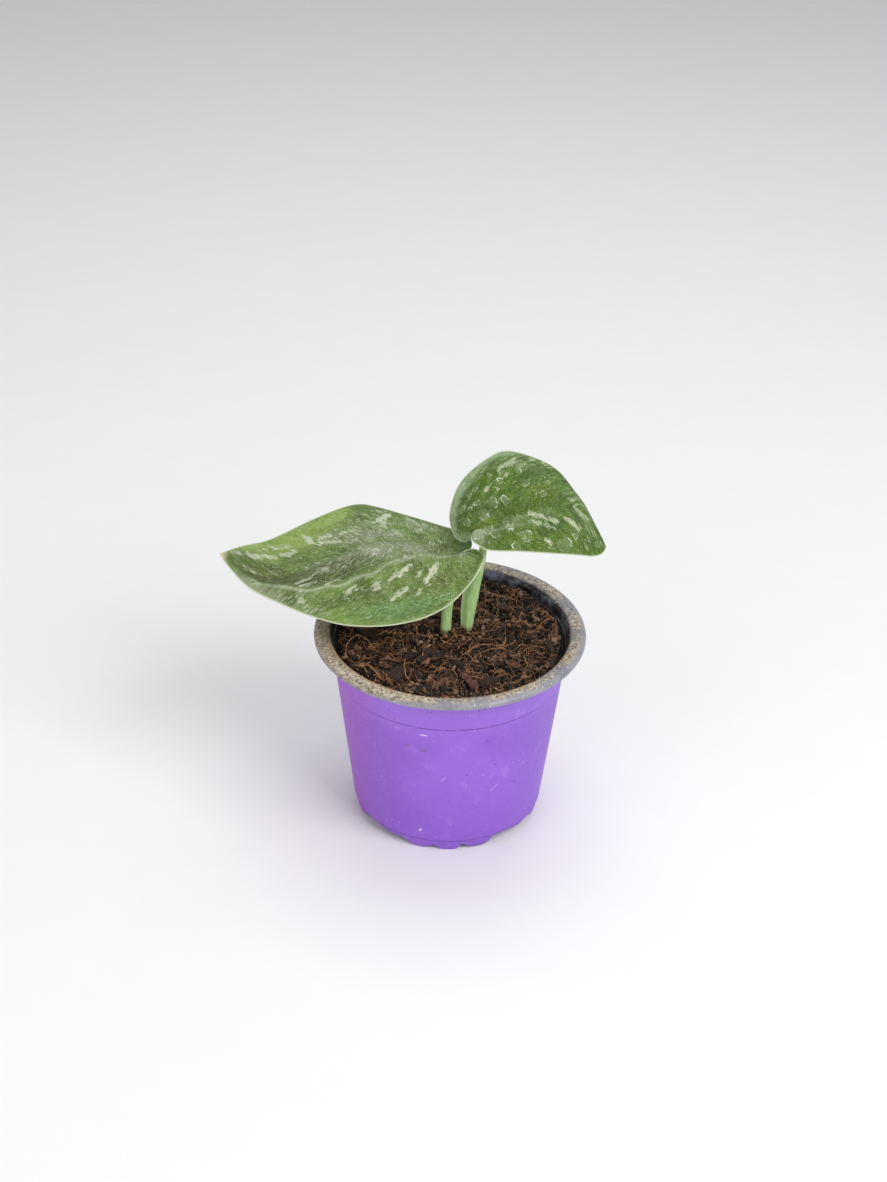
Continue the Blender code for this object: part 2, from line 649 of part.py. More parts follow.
def build_pothos():
    clear_scene()
    purple = make_material("purple_plastic", (0.34, 0.155, 0.71), 0.45)
    earth = make_material("damp_soil", (0.045, 0.022, 0.012), 0.95, 0.2)
    root_skin = make_material("pale_root", (0.52, 0.39, 0.21), 0.7)
    stalk_green = make_material("petiole_green", (0.23, 0.38, 0.12), 0.45)
    large_green = make_material("large_leaf_green", (0.11, 0.20, 0.045), 0.5)
    small_green = make_material("small_leaf_green", (0.11, 0.20, 0.05), 0.5)

    pothos = bpy.data.objects.new("pothos", None)
    bpy.context.scene.collection.objects.link(pothos)
    pothos.location = (POT_AXIS_X * MM, 0.0, 0.0)

    build_pot(pothos, purple)
    united("rootstock", rootstock_parts(), root_skin, pothos)
    build_petiole("petiole_large", LARGE_PETIOLE, pothos, stalk_green)
    build_petiole("petiole_small", SMALL_PETIOLE, pothos, stalk_green, SHEATH_THINNING)
    cutters = [
        united("rootstock_cutter", rootstock_parts(GAP), None, pothos),
        add_mesh_object("large_cutter", *petiole_mesh(LARGE_PETIOLE, GAP), None, pothos),
        add_mesh_object("small_cutter", *petiole_mesh(SMALL_PETIOLE, GAP, SHEATH_THINNING), None, pothos),
    ]
    build_soil(pothos, earth, cutters)
    build_leaf("leaf_large", LARGE_LEAF, pothos, large_green)
    build_leaf("leaf_small", SMALL_LEAF, pothos, small_green)


build_pothos()
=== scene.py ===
# Satin pothos with two leaves in a purple nursery pot: finish, light and camera.
# Lengths in the dictionaries are millimetres in the pot's own frame, whose axis is the pot's.
import math
import bpy
import numpy as np
from mathutils import Matrix, Vector


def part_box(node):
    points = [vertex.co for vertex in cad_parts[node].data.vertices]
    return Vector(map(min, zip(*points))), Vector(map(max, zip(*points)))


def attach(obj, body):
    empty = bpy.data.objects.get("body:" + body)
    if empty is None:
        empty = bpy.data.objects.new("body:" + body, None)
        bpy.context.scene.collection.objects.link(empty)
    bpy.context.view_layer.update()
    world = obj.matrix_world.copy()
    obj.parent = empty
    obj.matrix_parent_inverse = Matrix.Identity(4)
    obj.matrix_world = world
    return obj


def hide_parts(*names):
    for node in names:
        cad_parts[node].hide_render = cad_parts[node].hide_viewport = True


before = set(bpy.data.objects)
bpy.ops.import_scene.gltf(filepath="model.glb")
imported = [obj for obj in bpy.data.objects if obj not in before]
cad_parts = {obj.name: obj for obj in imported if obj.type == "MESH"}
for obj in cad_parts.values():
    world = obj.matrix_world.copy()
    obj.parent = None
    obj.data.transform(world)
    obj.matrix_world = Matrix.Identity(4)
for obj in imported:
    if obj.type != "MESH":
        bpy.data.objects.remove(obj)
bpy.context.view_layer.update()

mm = 0.001
potLow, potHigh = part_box("pot")
axisX = (potLow.x + potHigh.x) / 2 / mm
scene = bpy.context.scene


def say(text):
    print("pothos:", text)


# Objects from points in millimetres

def addPiece(name, mesh):
    piece = bpy.data.objects.new(name, mesh)
    scene.collection.objects.link(piece)
    return piece


def meshFrom(name, points, faces, edges=()):
    mesh = bpy.data.meshes.new(name)
    placed = (np.asarray(points, float) + (axisX, 0.0, 0.0)) * mm
    mesh.from_pydata(placed.tolist(), list(edges), faces)
    mesh.validate()
    return mesh


def paint(mesh, name, values):
    # a vector or a number for each point, for the materials to read
    values = np.asarray(values, np.float32)
    kind = "FLOAT_VECTOR" if values.ndim == 2 else "FLOAT"
    layer = mesh.attributes.new(name, kind, "POINT")
    layer.data.foreach_set("vector" if values.ndim == 2 else "value", values.ravel())


def smoothShade(piece, sharpAngle=40.0):
    piece.data.shade_smooth()
    piece.data.set_sharp_from_angle(angle=math.radians(sharpAngle))


def dress(piece, nodeName=None):
    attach(piece, "root")
    if nodeName:
        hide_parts(nodeName)


# Nodes, in materials and in geometry trees alike

def addNode(tree, kind, inputs=None, **settings):
    made = tree.nodes.new(kind)
    for label, value in settings.items():
        setattr(made, label, value)
    for key, value in (inputs or {}).items():
        if isinstance(value, bpy.types.NodeSocket):
            tree.links.new(value, made.inputs[key])
        else:
            made.inputs[key].default_value = value
    return made


def calc(tree, operation, first, second=0.0):
    return addNode(tree, "ShaderNodeMath", {0: first, 1: second}, operation=operation).outputs[0]


def times(tree, first, second):
    return calc(tree, "MULTIPLY", first, second)


def plus(tree, first, second):
    return calc(tree, "ADD", first, second)


def minus(tree, first, second):
    return calc(tree, "SUBTRACT", first, second)


def swing(tree, noise, spread):
    # a noise that swings about zero
    return times(tree, minus(tree, noise, 0.5), spread)


def vectorCalc(tree, operation, first, second=(0.0, 0.0, 0.0)):
    made = addNode(tree, "ShaderNodeVectorMath", {0: first, 1: second}, operation=operation)
    return made.outputs["Value"] if operation == "LENGTH" else made.outputs["Vector"]


def scaled(tree, vector, factor):
    return addNode(tree, "ShaderNodeVectorMath", {0: vector, "Scale": factor}, operation="SCALE").outputs[0]


def fade(tree, value, start, end, fromValue=0.0, toValue=1.0):
    made = addNode(tree, "ShaderNodeMapRange", {0: value, 1: start, 2: end, 3: fromValue, 4: toValue})
    made.interpolation_type = "SMOOTHSTEP"
    return made.outputs[0]


def mixed(tree, share, below, above):
    made = addNode(tree, "ShaderNodeMix", data_type="RGBA")
    for key, value in ((0, share), (6, below), (7, above)):
        if isinstance(value, bpy.types.NodeSocket):
            tree.links.new(value, made.inputs[key])
        else:
            made.inputs[key].default_value = (*value, 1.0) if isinstance(value, tuple) else value
    return made.outputs[2]


def coated(tree, colour, *coats):
    # lays coats of colour over one another, each through its own mask
    for mask, tone in coats:
        colour = mixed(tree, mask, colour, tone)
    return colour


def noiseNode(tree, place, scale, detail=3.0, roughness=0.55, distortion=0.0):
    return addNode(tree, "ShaderNodeTexNoise", {
        "Vector": place, "Scale": scale, "Detail": detail, "Roughness": roughness, "Distortion": distortion,
    })


def noiseAt(tree, *settings):
    return noiseNode(tree, *settings).outputs[0]


def shiftAt(tree, place, scale, detail):
    # a noise in all three directions that swings about zero
    colour = noiseNode(tree, place, scale, detail).outputs["Color"]
    return vectorCalc(tree, "SUBTRACT", colour, (0.5, 0.5, 0.5))


def joined(tree, x=0.0, y=0.0, z=0.0):
    return addNode(tree, "ShaderNodeCombineXYZ", {0: x, 1: y, 2: z}).outputs[0]


def partsOf(tree, vector):
    return addNode(tree, "ShaderNodeSeparateXYZ", {0: vector}).outputs


def objectPlace(tree):
    return addNode(tree, "ShaderNodeTexCoord").outputs["Object"]


def pointPlace(tree):
    return addNode(tree, "GeometryNodeInputPosition").outputs[0]


def storedNumber(tree, name):
    # an attribute, as a geometry tree reads it
    return addNode(tree, "GeometryNodeInputNamedAttribute", {"Name": name}, data_type="FLOAT").outputs[0]


def readNumber(tree, name):
    # an attribute, as a material reads it
    return addNode(tree, "ShaderNodeAttribute", attribute_name=name).outputs["Fac"]


def readVector(tree, name):
    vector = addNode(tree, "ShaderNodeAttribute", attribute_name=name).outputs["Vector"]
    return vector, *partsOf(tree, vector)[:3]


def specks(tree, place, scale, size, share):
    # small dots, one in some of the cells
    cells = addNode(tree, "ShaderNodeTexVoronoi", {"Vector": place, "Scale": scale})
    chosen = addNode(tree, "ShaderNodeSeparateColor", {0: cells.outputs["Color"]}).outputs[0]
    near = fade(tree, cells.outputs["Distance"], size, 0.4 * size)
    return times(tree, near, calc(tree, "LESS_THAN", chosen, share))


def newMaterial(name, roughness=0.5, specular=0.5, sheen=0.0):
    material = bpy.data.materials.new(name)
    material.use_nodes = True
    tree = material.node_tree
    shader = tree.nodes["Principled BSDF"]
    shader.inputs["Roughness"].default_value = roughness
    shader.inputs["Specular IOR Level"].default_value = specular
    shader.inputs["Sheen Weight"].default_value = sheen
    return material, tree, shader


def finishLook(tree, shader, colour, roughness=None, height=None, depth=0.0001, strength=0.5):
    tree.links.new(colour, shader.inputs["Base Color"])
    if roughness is not None:
        tree.links.new(roughness, shader.inputs["Roughness"])
    if height is not None:
        bump = addNode(tree, "ShaderNodeBump", {"Height": height, "Distance": depth, "Strength": strength})
        tree.links.new(bump.outputs[0], shader.inputs["Normal"])


# Curves, tubes and fades

def curveThrough(points, steps=24):
    # from a share of the length to a point on a smooth curve through the points
    ends = np.asarray(points, float)
    padded = np.vstack([2 * ends[0] - ends[1], ends, 2 * ends[-1] - ends[-2]])
    samples = []
    for first in range(len(ends) - 1):
        a, b, c, d = padded[first:first + 4]
        ta = 0.0
        tb = ta + math.sqrt(np.linalg.norm(b - a))
        tc = tb + math.sqrt(np.linalg.norm(c - b))
        td = tc + math.sqrt(np.linalg.norm(d - c))
        for t in np.linspace(tb, tc, steps, endpoint=False):
            ab = ((tb - t) * a + (t - ta) * b) / (tb - ta)
            bc = ((tc - t) * b + (t - tb) * c) / (tc - tb)
            cd = ((td - t) * c + (t - tc) * d) / (td - tc)
            abc = ((tc - t) * ab + (t - ta) * bc) / (tc - ta)
            bcd = ((td - t) * bc + (t - tb) * cd) / (td - tb)
            samples.append(((tc - t) * abc + (t - tb) * bcd) / (tc - tb))
    samples.append(ends[-1])
    samples = np.array(samples)
    walked = np.concatenate([[0.0], np.cumsum(np.linalg.norm(np.diff(samples, axis=0), axis=1))])

    def at(share):
        distance = np.asarray(share, float) * walked[-1]
        return np.stack([np.interp(distance, walked, samples[:, axis]) for axis in range(3)], -1)

    return at


def eased(share, stations, column):
    table = np.asarray(stations, float)
    share = np.asarray(share, float)
    below = np.clip(np.searchsorted(table[:, 0], share, side="right") - 1, 0, len(table) - 2)
    part = (share - table[below, 0]) / (table[below + 1, 0] - table[below, 0])
    part = part * part * (3.0 - 2.0 * part)
    return table[below, column] + (table[below + 1, column] - table[below, column]) * part


def unit(vectors):
    return vectors / np.maximum(np.linalg.norm(vectors, axis=-1, keepdims=True), 1e-9)


def ramp(values, start, width):
    return np.clip((values - start) / width, 0.0, 1.0)


def headings(line, shares, step=0.005):
    return unit(line(np.minimum(shares + step, 1.0)) - line(np.maximum(shares - step, 0.0)))


def ringFaces(first, rings, around):
    faces = []
    for ring in range(rings - 1):
        low = first + ring * around
        for step in range(around):
            beside = (step + 1) % around
            faces.append((low + step, low + beside, low + around + beside, low + around + step))
    return faces


def endCaps(rings, sides):
    # fans to the two points that follow the rings
    bottom, top = rings * sides, rings * sides + 1
    last = (rings - 1) * sides
    faces = [(bottom, (step + 1) % sides, step) for step in range(sides)]
    faces += [(top, last + step, last + (step + 1) % sides) for step in range(sides)]
    return faces


# Geometry trees

def newTree(name, sizes):
    tree = bpy.data.node_groups.new(name, "GeometryNodeTree")
    tree.interface.new_socket("Geometry", in_out="INPUT", socket_type="NodeSocketGeometry")
    tree.interface.new_socket("Geometry", in_out="OUTPUT", socket_type="NodeSocketGeometry")
    for label, value in sizes.items():
        kind = "NodeSocketInt" if isinstance(value, int) else "NodeSocketFloat"
        tree.interface.new_socket(label, in_out="INPUT", socket_type=kind)
    return tree, tree.nodes.new("NodeGroupInput").outputs, tree.nodes.new("NodeGroupOutput").inputs[0]


def grow(name, carrier, tree, sizes):
    # runs the tree on the carrier and keeps what it makes as a plain mesh
    modifier = carrier.modifiers.new(name, "NODES")
    modifier.node_group = tree
    for item in tree.interface.items_tree:
        if item.in_out == "INPUT" and item.name in sizes:
            modifier[item.identifier] = sizes[item.name]
    bpy.context.view_layer.update()
    graph = bpy.context.evaluated_depsgraph_get()
    mesh = bpy.data.meshes.new_from_object(carrier.evaluated_get(graph), depsgraph=graph)
    mesh.name = name
    carrier.modifiers.remove(modifier)
    return addPiece(name, mesh)


def closeTree(tree, geometry, material, result):
    real = addNode(tree, "GeometryNodeRealizeInstances", {"Geometry": geometry})
    done = addNode(tree, "GeometryNodeSetMaterial", {"Geometry": real.outputs[0], "Material": material})
    tree.links.new(done.outputs[0], result)
    return tree


def randomIn(tree, low, high, seed, kind="FLOAT"):
    made = addNode(tree, "FunctionNodeRandomValue", data_type=kind)
    slots = (0, 1, 0) if kind == "FLOAT_VECTOR" else (2, 3, 1)
    for slot, value in zip(slots, (low, high)):
        if isinstance(value, bpy.types.NodeSocket):
            tree.links.new(value, made.inputs[slot])
        else:
            made.inputs[slot].default_value = value
    tree.links.new(seed, made.inputs["Seed"])
    return made.outputs[slots[2]]


# Camera, light and floor

view = {"place": (-3.19, -737.87, 573.59), "tilt": 57.885, "roll": 0.988, "lens": 60.914}
studio = {
    "keyPlace": (0.75, -0.70, 1.05), "keySize": 0.8, "keyPower": 12.0, "keyColour": (1.0, 0.98, 0.95),
    "fillPlace": (-0.8, -0.9, 0.5), "fillSize": 1.1, "fillPower": 5.2, "fillColour": (1.0, 0.91, 0.87),
    "topPlace": (0.05, 0.45, 1.2), "topSize": 0.9, "topPower": 5.0, "topColour": (0.95, 0.97, 1.0),
    "skyColour": (0.95, 0.97, 1.0), "skyStrength": 0.42,
    "floorSize": 6.0, "floorColour": (0.88, 0.88, 0.875),
}


def addCamera():
    camera = bpy.data.objects.new("camera", bpy.data.cameras.new("camera"))
    scene.collection.objects.link(camera)
    camera.data.lens = view["lens"]
    camera.data.sensor_width = 36.0
    place = Vector(view["place"]) * mm + Vector((axisX * mm, 0, 0))
    tilt = Matrix.Rotation(math.radians(view["tilt"]), 4, "X")
    roll = Matrix.Rotation(math.radians(view["roll"]), 4, "Z")
    camera.matrix_world = Matrix.Translation(place) @ (tilt @ roll)
    camera.data.clip_start = 0.01
    scene.camera = camera


def addSoftbox(name):
    lamp = bpy.data.lights.new(name + "Light", "AREA")
    lamp.shape = "SQUARE"
    lamp.size = studio[name + "Size"]
    lamp.energy = studio[name + "Power"]
    lamp.color = studio[name + "Colour"]
    item = bpy.data.objects.new(name + "Light", lamp)
    scene.collection.objects.link(item)
    item.location = studio[name + "Place"]
    aim = Vector((axisX * mm, 0.0, 0.08)) - item.location
    item.rotation_euler = aim.to_track_quat("-Z", "Y").to_euler()


def addStudio():
    for name in ("key", "fill", "top"):
        addSoftbox(name)
    world = bpy.data.worlds.new("softSky")
    scene.world = world
    world.use_nodes = True
    sky = world.node_tree.nodes["Background"]
    sky.inputs[0].default_value = (*studio["skyColour"], 1.0)
    sky.inputs[1].default_value = studio["skyStrength"]
    scene.view_settings.view_transform = "Standard"
    half = studio["floorSize"] / 2
    mesh = bpy.data.meshes.new("floor")
    corners = [(-half, -half, 0), (half, -half, 0), (half, half, 0), (-half, half, 0)]
    mesh.from_pydata(corners, [], [(0, 1, 2, 3)])
    floor = addPiece("floor", mesh)
    material, tree, shader = newMaterial("paleFloor", 0.75, 0.2)
    pale = studio["floorColour"]
    paler = tuple(min(1.0, part * 1.03) for part in pale)
    finishLook(tree, shader, mixed(tree, noiseAt(tree, objectPlace(tree), 40.0), pale, paler))
    mesh.materials.append(material)


addCamera()
addStudio()
say("camera and studio are in place")


# Pot: a turned shell of thin plastic, purple outside and near-black inside and on its lip

pot = {
    "rimRadius": (potHigh.x - potLow.x) / 2 / mm,
    "lipEdgeHeight": 89.4, "lipRoundWidth": 2.7, "lipRoundHeight": 2.4,
    "lipInnerRadius": 54.4, "lipInnerHeight": 91.6, "wallTopRadius": 52.85,
    "ringHeight": 72.6, "ringStep": 0.15, "creaseHeight": 5.7, "creaseRadius": 42.8,
    "footRadius": 41.5, "footWall": 1.4, "floorUnderside": 5.2, "floorTop": 6.2,
    "ledgeHeight": 86.0, "ledgeRadius": 50.9, "floorEdgeRadius": 41.8,
    "footGroups": 4, "firstArch": 37.0, "archWidth": 17.0, "archTop": 4.9, "archSide": 3.0, "archSteps": 4,
    "lobeBottoms": (2.4, 0.4, 0.0, 0.6), "lobeSteps": 5, "notchHeight": 1.8,
    "holes": 8, "holeRadius": 3.5, "holeCircle": 31.0,
    "stepsAround": 384,
}


def roundedLine(corners, steps=5):
    # corners are (radius, height, rounding): each is cut back by its rounding and bridged by an arc
    line = [corners[0][:2]]
    for before, here, after in zip(corners, corners[1:], corners[2:]):
        centre = np.array(here[:2])
        toBefore = np.array(before[:2]) - centre
        toAfter = np.array(after[:2]) - centre
        cutBefore = min(here[2], 0.45 * np.linalg.norm(toBefore))
        cutAfter = min(here[2], 0.45 * np.linalg.norm(toAfter))
        start = centre + toBefore / np.linalg.norm(toBefore) * cutBefore
        end = centre + toAfter / np.linalg.norm(toAfter) * cutAfter
        for step in range(steps + 1):
            part = step / steps
            line.append(tuple(start * (1 - part) ** 2 + 2 * centre * part * (1 - part) + end * part ** 2))
    line.append(corners[-1][:2])
    return line


def potProfile():
    # rows of (radius, height, share of the scallops), from under the floor round to the floor's top,
    # and the number of the row where the dark skin starts
    wallRise = pot["lipEdgeHeight"] - pot["creaseHeight"]
    ringRadius = pot["creaseRadius"] + (pot["wallTopRadius"] - pot["creaseRadius"]) * (
        pot["ringHeight"] - pot["creaseHeight"]) / wallRise
    footInner = pot["footRadius"] - pot["footWall"]
    rows = [(radius, pot["floorUnderside"], 0.0) for radius in np.linspace(0.0, footInner + 0.4, 12)]
    for step in (0.3, 0.6):
        rows.append((footInner + 0.4 * (1 - step), pot["floorUnderside"] * (1 - step), step))
    rows += [
        (footInner, 0.25, 1.0), (footInner + 0.1, 0.08, 1.0), (footInner + 0.3, 0.0, 1.0),
        (pot["footRadius"] - 0.3, 0.0, 1.0), (pot["footRadius"] - 0.1, 0.08, 1.0),
        (pot["footRadius"], 0.25, 1.0),
    ]
    for step in (0.25, 0.5, 0.75):
        low = pot["creaseRadius"] - 0.2 - pot["footRadius"]
        rows.append((pot["footRadius"] + low * step, (pot["creaseHeight"] - 0.3) * step, 1.0 - step))
    outside = roundedLine([
        (pot["creaseRadius"] - 0.2, pot["creaseHeight"] - 0.3, 0.0),
        (pot["creaseRadius"] - 0.12, pot["creaseHeight"] - 0.1, 0.12),
        (pot["creaseRadius"] + 0.12, pot["creaseHeight"] + 0.2, 0.2),
        (ringRadius - pot["ringStep"], pot["ringHeight"] - 0.3, 0.25),
        (ringRadius + pot["ringStep"], pot["ringHeight"] + 0.1, 0.25),
        (pot["wallTopRadius"], pot["lipEdgeHeight"] + 0.1, 0.5),
    ])
    rows += [(radius, height, 0.0) for radius, height in outside]
    darkRow = len(rows)
    rimRound = [(pot["rimRadius"] - 1.1, pot["lipEdgeHeight"], 0.2)]
    for step in range(13):
        turn = math.radians(90.0 * step / 12)
        rimRound.append((
            pot["rimRadius"] - pot["lipRoundWidth"] * (1 - math.cos(turn)),
            pot["lipEdgeHeight"] + pot["lipRoundHeight"] * math.sin(turn), 0.05,
        ))
    inner = pot["lipInnerRadius"]
    top = pot["lipInnerHeight"]
    lip = [
        (pot["wallTopRadius"], pot["lipEdgeHeight"] + 0.2, 0.1),
        (pot["wallTopRadius"] + 1.05, pot["lipEdgeHeight"] + 1.1, 0.5),
        (pot["rimRadius"] - 1.4, pot["lipEdgeHeight"] + 1.2, 0.4),
        *rimRound,
        (inner + 1.2, top + 0.12, 0.5), (inner, top, 0.6), (inner - 0.8, top - 0.3, 0.4),
        (inner - 1.5, top - 1.0, 0.5), (inner - 2.5, top - 2.6, 0.8),
        (pot["ledgeRadius"] + 0.6, pot["ledgeHeight"] + 0.3, 0.3),
        (pot["ledgeRadius"], pot["ledgeHeight"], 0.3),
        (pot["floorEdgeRadius"], pot["floorTop"] + 0.7, 0.6),
        (pot["floorEdgeRadius"] - 0.6, pot["floorTop"], 0.3),
        (20.0, pot["floorTop"], 0.1), (0.0, pot["floorTop"], 0.0),
    ]
    rows += [(radius, height, 0.0) for radius, height in roundedLine(lip, 3)]
    return rows, darkRow


def footStations():
    # share of one foot group, from an arch's start, with the height of the foot's edge
    groupAngle = 360.0 / pot["footGroups"]
    arch = pot["archWidth"] / groupAngle
    lobe = (1.0 - arch) / len(pot["lobeBottoms"])
    stations = [(0.0, pot["archSide"])]
    stations += [(arch * step / pot["archSteps"], pot["archTop"]) for step in range(1, pot["archSteps"])]
    stations.append((arch, pot["archSide"]))
    for number, bottom in enumerate(pot["lobeBottoms"]):
        for step in range(0 if number else 1, pot["lobeSteps"]):
            offCentre = abs(2.0 * step / pot["lobeSteps"] - 1.0)
            flat = 1.0 / pot["lobeSteps"]
            rise = pot["notchHeight"] * (max(0.0, offCentre - flat) / (1.0 - flat)) ** 2
            stations.append((arch + lobe * (number + step / pot["lobeSteps"]), bottom + rise))
    stations.append((1.0, pot["archSide"]))
    return stations


def potTree(sizes, footScale, darkRow):
    tree, given, result = newTree("turnedPot", sizes)
    grid = addNode(tree, "GeometryNodeMeshGrid", {
        "Size X": 1.0, "Size Y": 1.0,
        "Vertices X": plus(tree, given["Steps Around"], 1.0), "Vertices Y": given["Rows"],
    })
    across, along = partsOf(tree, pointPlace(tree))[:2]
    share = plus(tree, across, 0.5)
    lastRow = minus(tree, given["Rows"], 1.0)
    row = calc(tree, "ROUND", times(tree, plus(tree, along, 0.5), lastRow))
    profile = addNode(tree, "GeometryNodeSampleIndex", {"Geometry": given["Geometry"], "Index": row},
                      data_type="FLOAT_VECTOR", domain="POINT")
    tree.links.new(pointPlace(tree), profile.inputs["Value"])
    sampled = partsOf(tree, profile.outputs[0])
    # share of the way round one foot group, counted from its arch
    groups = times(tree, share, given["Foot Groups"])
    start = times(tree, given["Arch Start"], given["Foot Groups"])
    groupShare = calc(tree, "FRACT", plus(tree, minus(tree, groups, start), 8.0))
    edge = addNode(tree, "ShaderNodeFloatCurve", {"Value": groupShare})
    points = edge.mapping.curves[0].points
    stations = footStations()
    for number, (where, height) in enumerate(stations):
        spot = points[number] if number < 1 else points.new(where, height / footScale)
        spot.location = (where, height / footScale)
        spot.handle_type = "AUTO_CLAMPED"
    extra = [spot for spot in points if spot.location[0] > 0.999]
    if len(extra) > 1:
        points.remove(extra[-1])
    points[-1].location = (1.0, stations[-1][1] / footScale)
    edge.mapping.update()
    footEdge = times(tree, edge.outputs[0], footScale * mm)
    level = plus(tree, sampled[1], times(tree, sampled[2], footEdge))
    turn = times(tree, share, 2.0 * math.pi)
    sideways = plus(tree, times(tree, sampled[0], calc(tree, "SINE", turn)), given["Axis X"])
    backward = times(tree, times(tree, sampled[0], calc(tree, "COSINE", turn)), -1.0)
    placed = joined(tree, sideways, backward, level)
    isDark = calc(tree, "GREATER_THAN", row, darkRow - 0.5)
    marked = addNode(tree, "GeometryNodeStoreNamedAttribute", {
        "Geometry": grid.outputs[0], "Name": "darkSkin", "Value": isDark,
    }, data_type="FLOAT", domain="POINT")
    turned = addNode(tree, "GeometryNodeSetPosition", {"Geometry": marked.outputs[0], "Position": placed})
    closed = addNode(tree, "GeometryNodeMergeByDistance", {
        "Geometry": turned.outputs[0], "Distance": 0.01 * mm,
    })
    # drain holes through the floor
    ring = addNode(tree, "GeometryNodeMeshCircle", {
        "Vertices": given["Holes"], "Radius": given["Hole Circle"],
    })
    spread = addNode(tree, "GeometryNodeTransform", {
        "Geometry": ring.outputs[0], "Translation": joined(tree, given["Axis X"], 0.0, given["Floor Level"]),
        "Rotation": (0.0, 0.0, math.radians(pot["firstArch"] - 90.0)),
    })
    drill = addNode(tree, "GeometryNodeMeshCylinder", {
        "Vertices": 40, "Radius": given["Hole Radius"], "Depth": 4 * mm,
    })
    drills = addNode(tree, "GeometryNodeInstanceOnPoints", {
        "Points": spread.outputs[0], "Instance": drill.outputs[0],
    })
    solid = addNode(tree, "GeometryNodeRealizeInstances", {"Geometry": drills.outputs[0]})
    cut = addNode(tree, "GeometryNodeMeshBoolean", {"Mesh 1": closed.outputs[0], "Mesh 2": solid.outputs[0]},
                  operation="DIFFERENCE")
    real = addNode(tree, "GeometryNodeRealizeInstances", {"Geometry": cut.outputs[0]})
    purple = addNode(tree, "GeometryNodeSetMaterial", {
        "Geometry": real.outputs[0], "Material": purplePlastic(),
    })
    skin = storedNumber(tree, "darkSkin")
    dark = addNode(tree, "GeometryNodeSetMaterial", {
        "Geometry": purple.outputs[0], "Material": darkPlastic(),
        "Selection": calc(tree, "GREATER_THAN", skin, 0.4),
    })
    tree.links.new(dark.outputs[0], result)
    return tree


# Marks on the wall's front: place across and up, half length, half width, turn in degrees
scratches = (
    (-1.7, 44.0, 1.9, 0.16, 52.0), (33.0, 43.5, 1.2, 0.20, 20.0), (20.5, 35.5, 3.0, 0.12, 40.0),
    (15.5, 44.6, 0.9, 0.12, 0.0), (-11.7, 11.5, 1.2, 0.60, 60.0), (-10.7, 68.5, 2.2, 0.45, 0.0),
)
dirtSpots = ((-18.0, 61.0, 1.2, 0.5, 8.0), (-10.5, 59.5, 2.0, 0.7, -6.0), (-14.0, 71.0, 0.9, 0.35, 0.0))


def strokes(tree, place, marks, ragged):
    # soft masks round short strokes on the wall's near side
    near = calc(tree, "LESS_THAN", partsOf(tree, place)[1], 0.0)
    wobble = swing(tree, noiseAt(tree, place, 900.0, 4.0), ragged)
    total = None
    for across, up, halfLength, halfWidth, turn in marks:
        moved = addNode(tree, "ShaderNodeMapping", {
            "Vector": place, "Location": ((axisX + across) * mm, 0.0, up * mm),
            "Rotation": (0.0, math.radians(-turn), 0.0), "Scale": (halfLength * mm, 1.0, halfWidth * mm),
        }, vector_type="TEXTURE").outputs[0]
        flat = vectorCalc(tree, "MULTIPLY", moved, (1.0, 0.0, 1.0))
        mask = fade(tree, plus(tree, vectorCalc(tree, "LENGTH", flat), wobble), 1.1, 0.6)
        total = mask if total is None else calc(tree, "MAXIMUM", total, mask)
    return times(tree, total, near)


purpleTones = {
    "base": (0.265, 0.114, 0.610), "patch": (0.310, 0.138, 0.685), "underLip": (0.365, 0.190, 0.780),
    "low": (0.235, 0.092, 0.570), "fadedAndShadedFlank": (0.320, 0.078, 0.488), "foot": (0.20, 0.11, 0.33),
    "mottle": (0.40, 0.23, 0.75), "rubbed": (0.50, 0.34, 0.79), "scratch": (0.75, 0.66, 0.90),
    "speck": (0.13, 0.05, 0.28), "smallSpeck": (0.10, 0.04, 0.18), "paleSpeck": (0.72, 0.62, 0.85),
    "lipSpeck": (0.11, 0.06, 0.13), "leftSpeck": (0.10, 0.05, 0.14), "dirt": (0.20, 0.13, 0.26),
    # line: the painted shade in the ring line and the crease, with some dirt
    "line": (0.095, 0.028, 0.26),
}


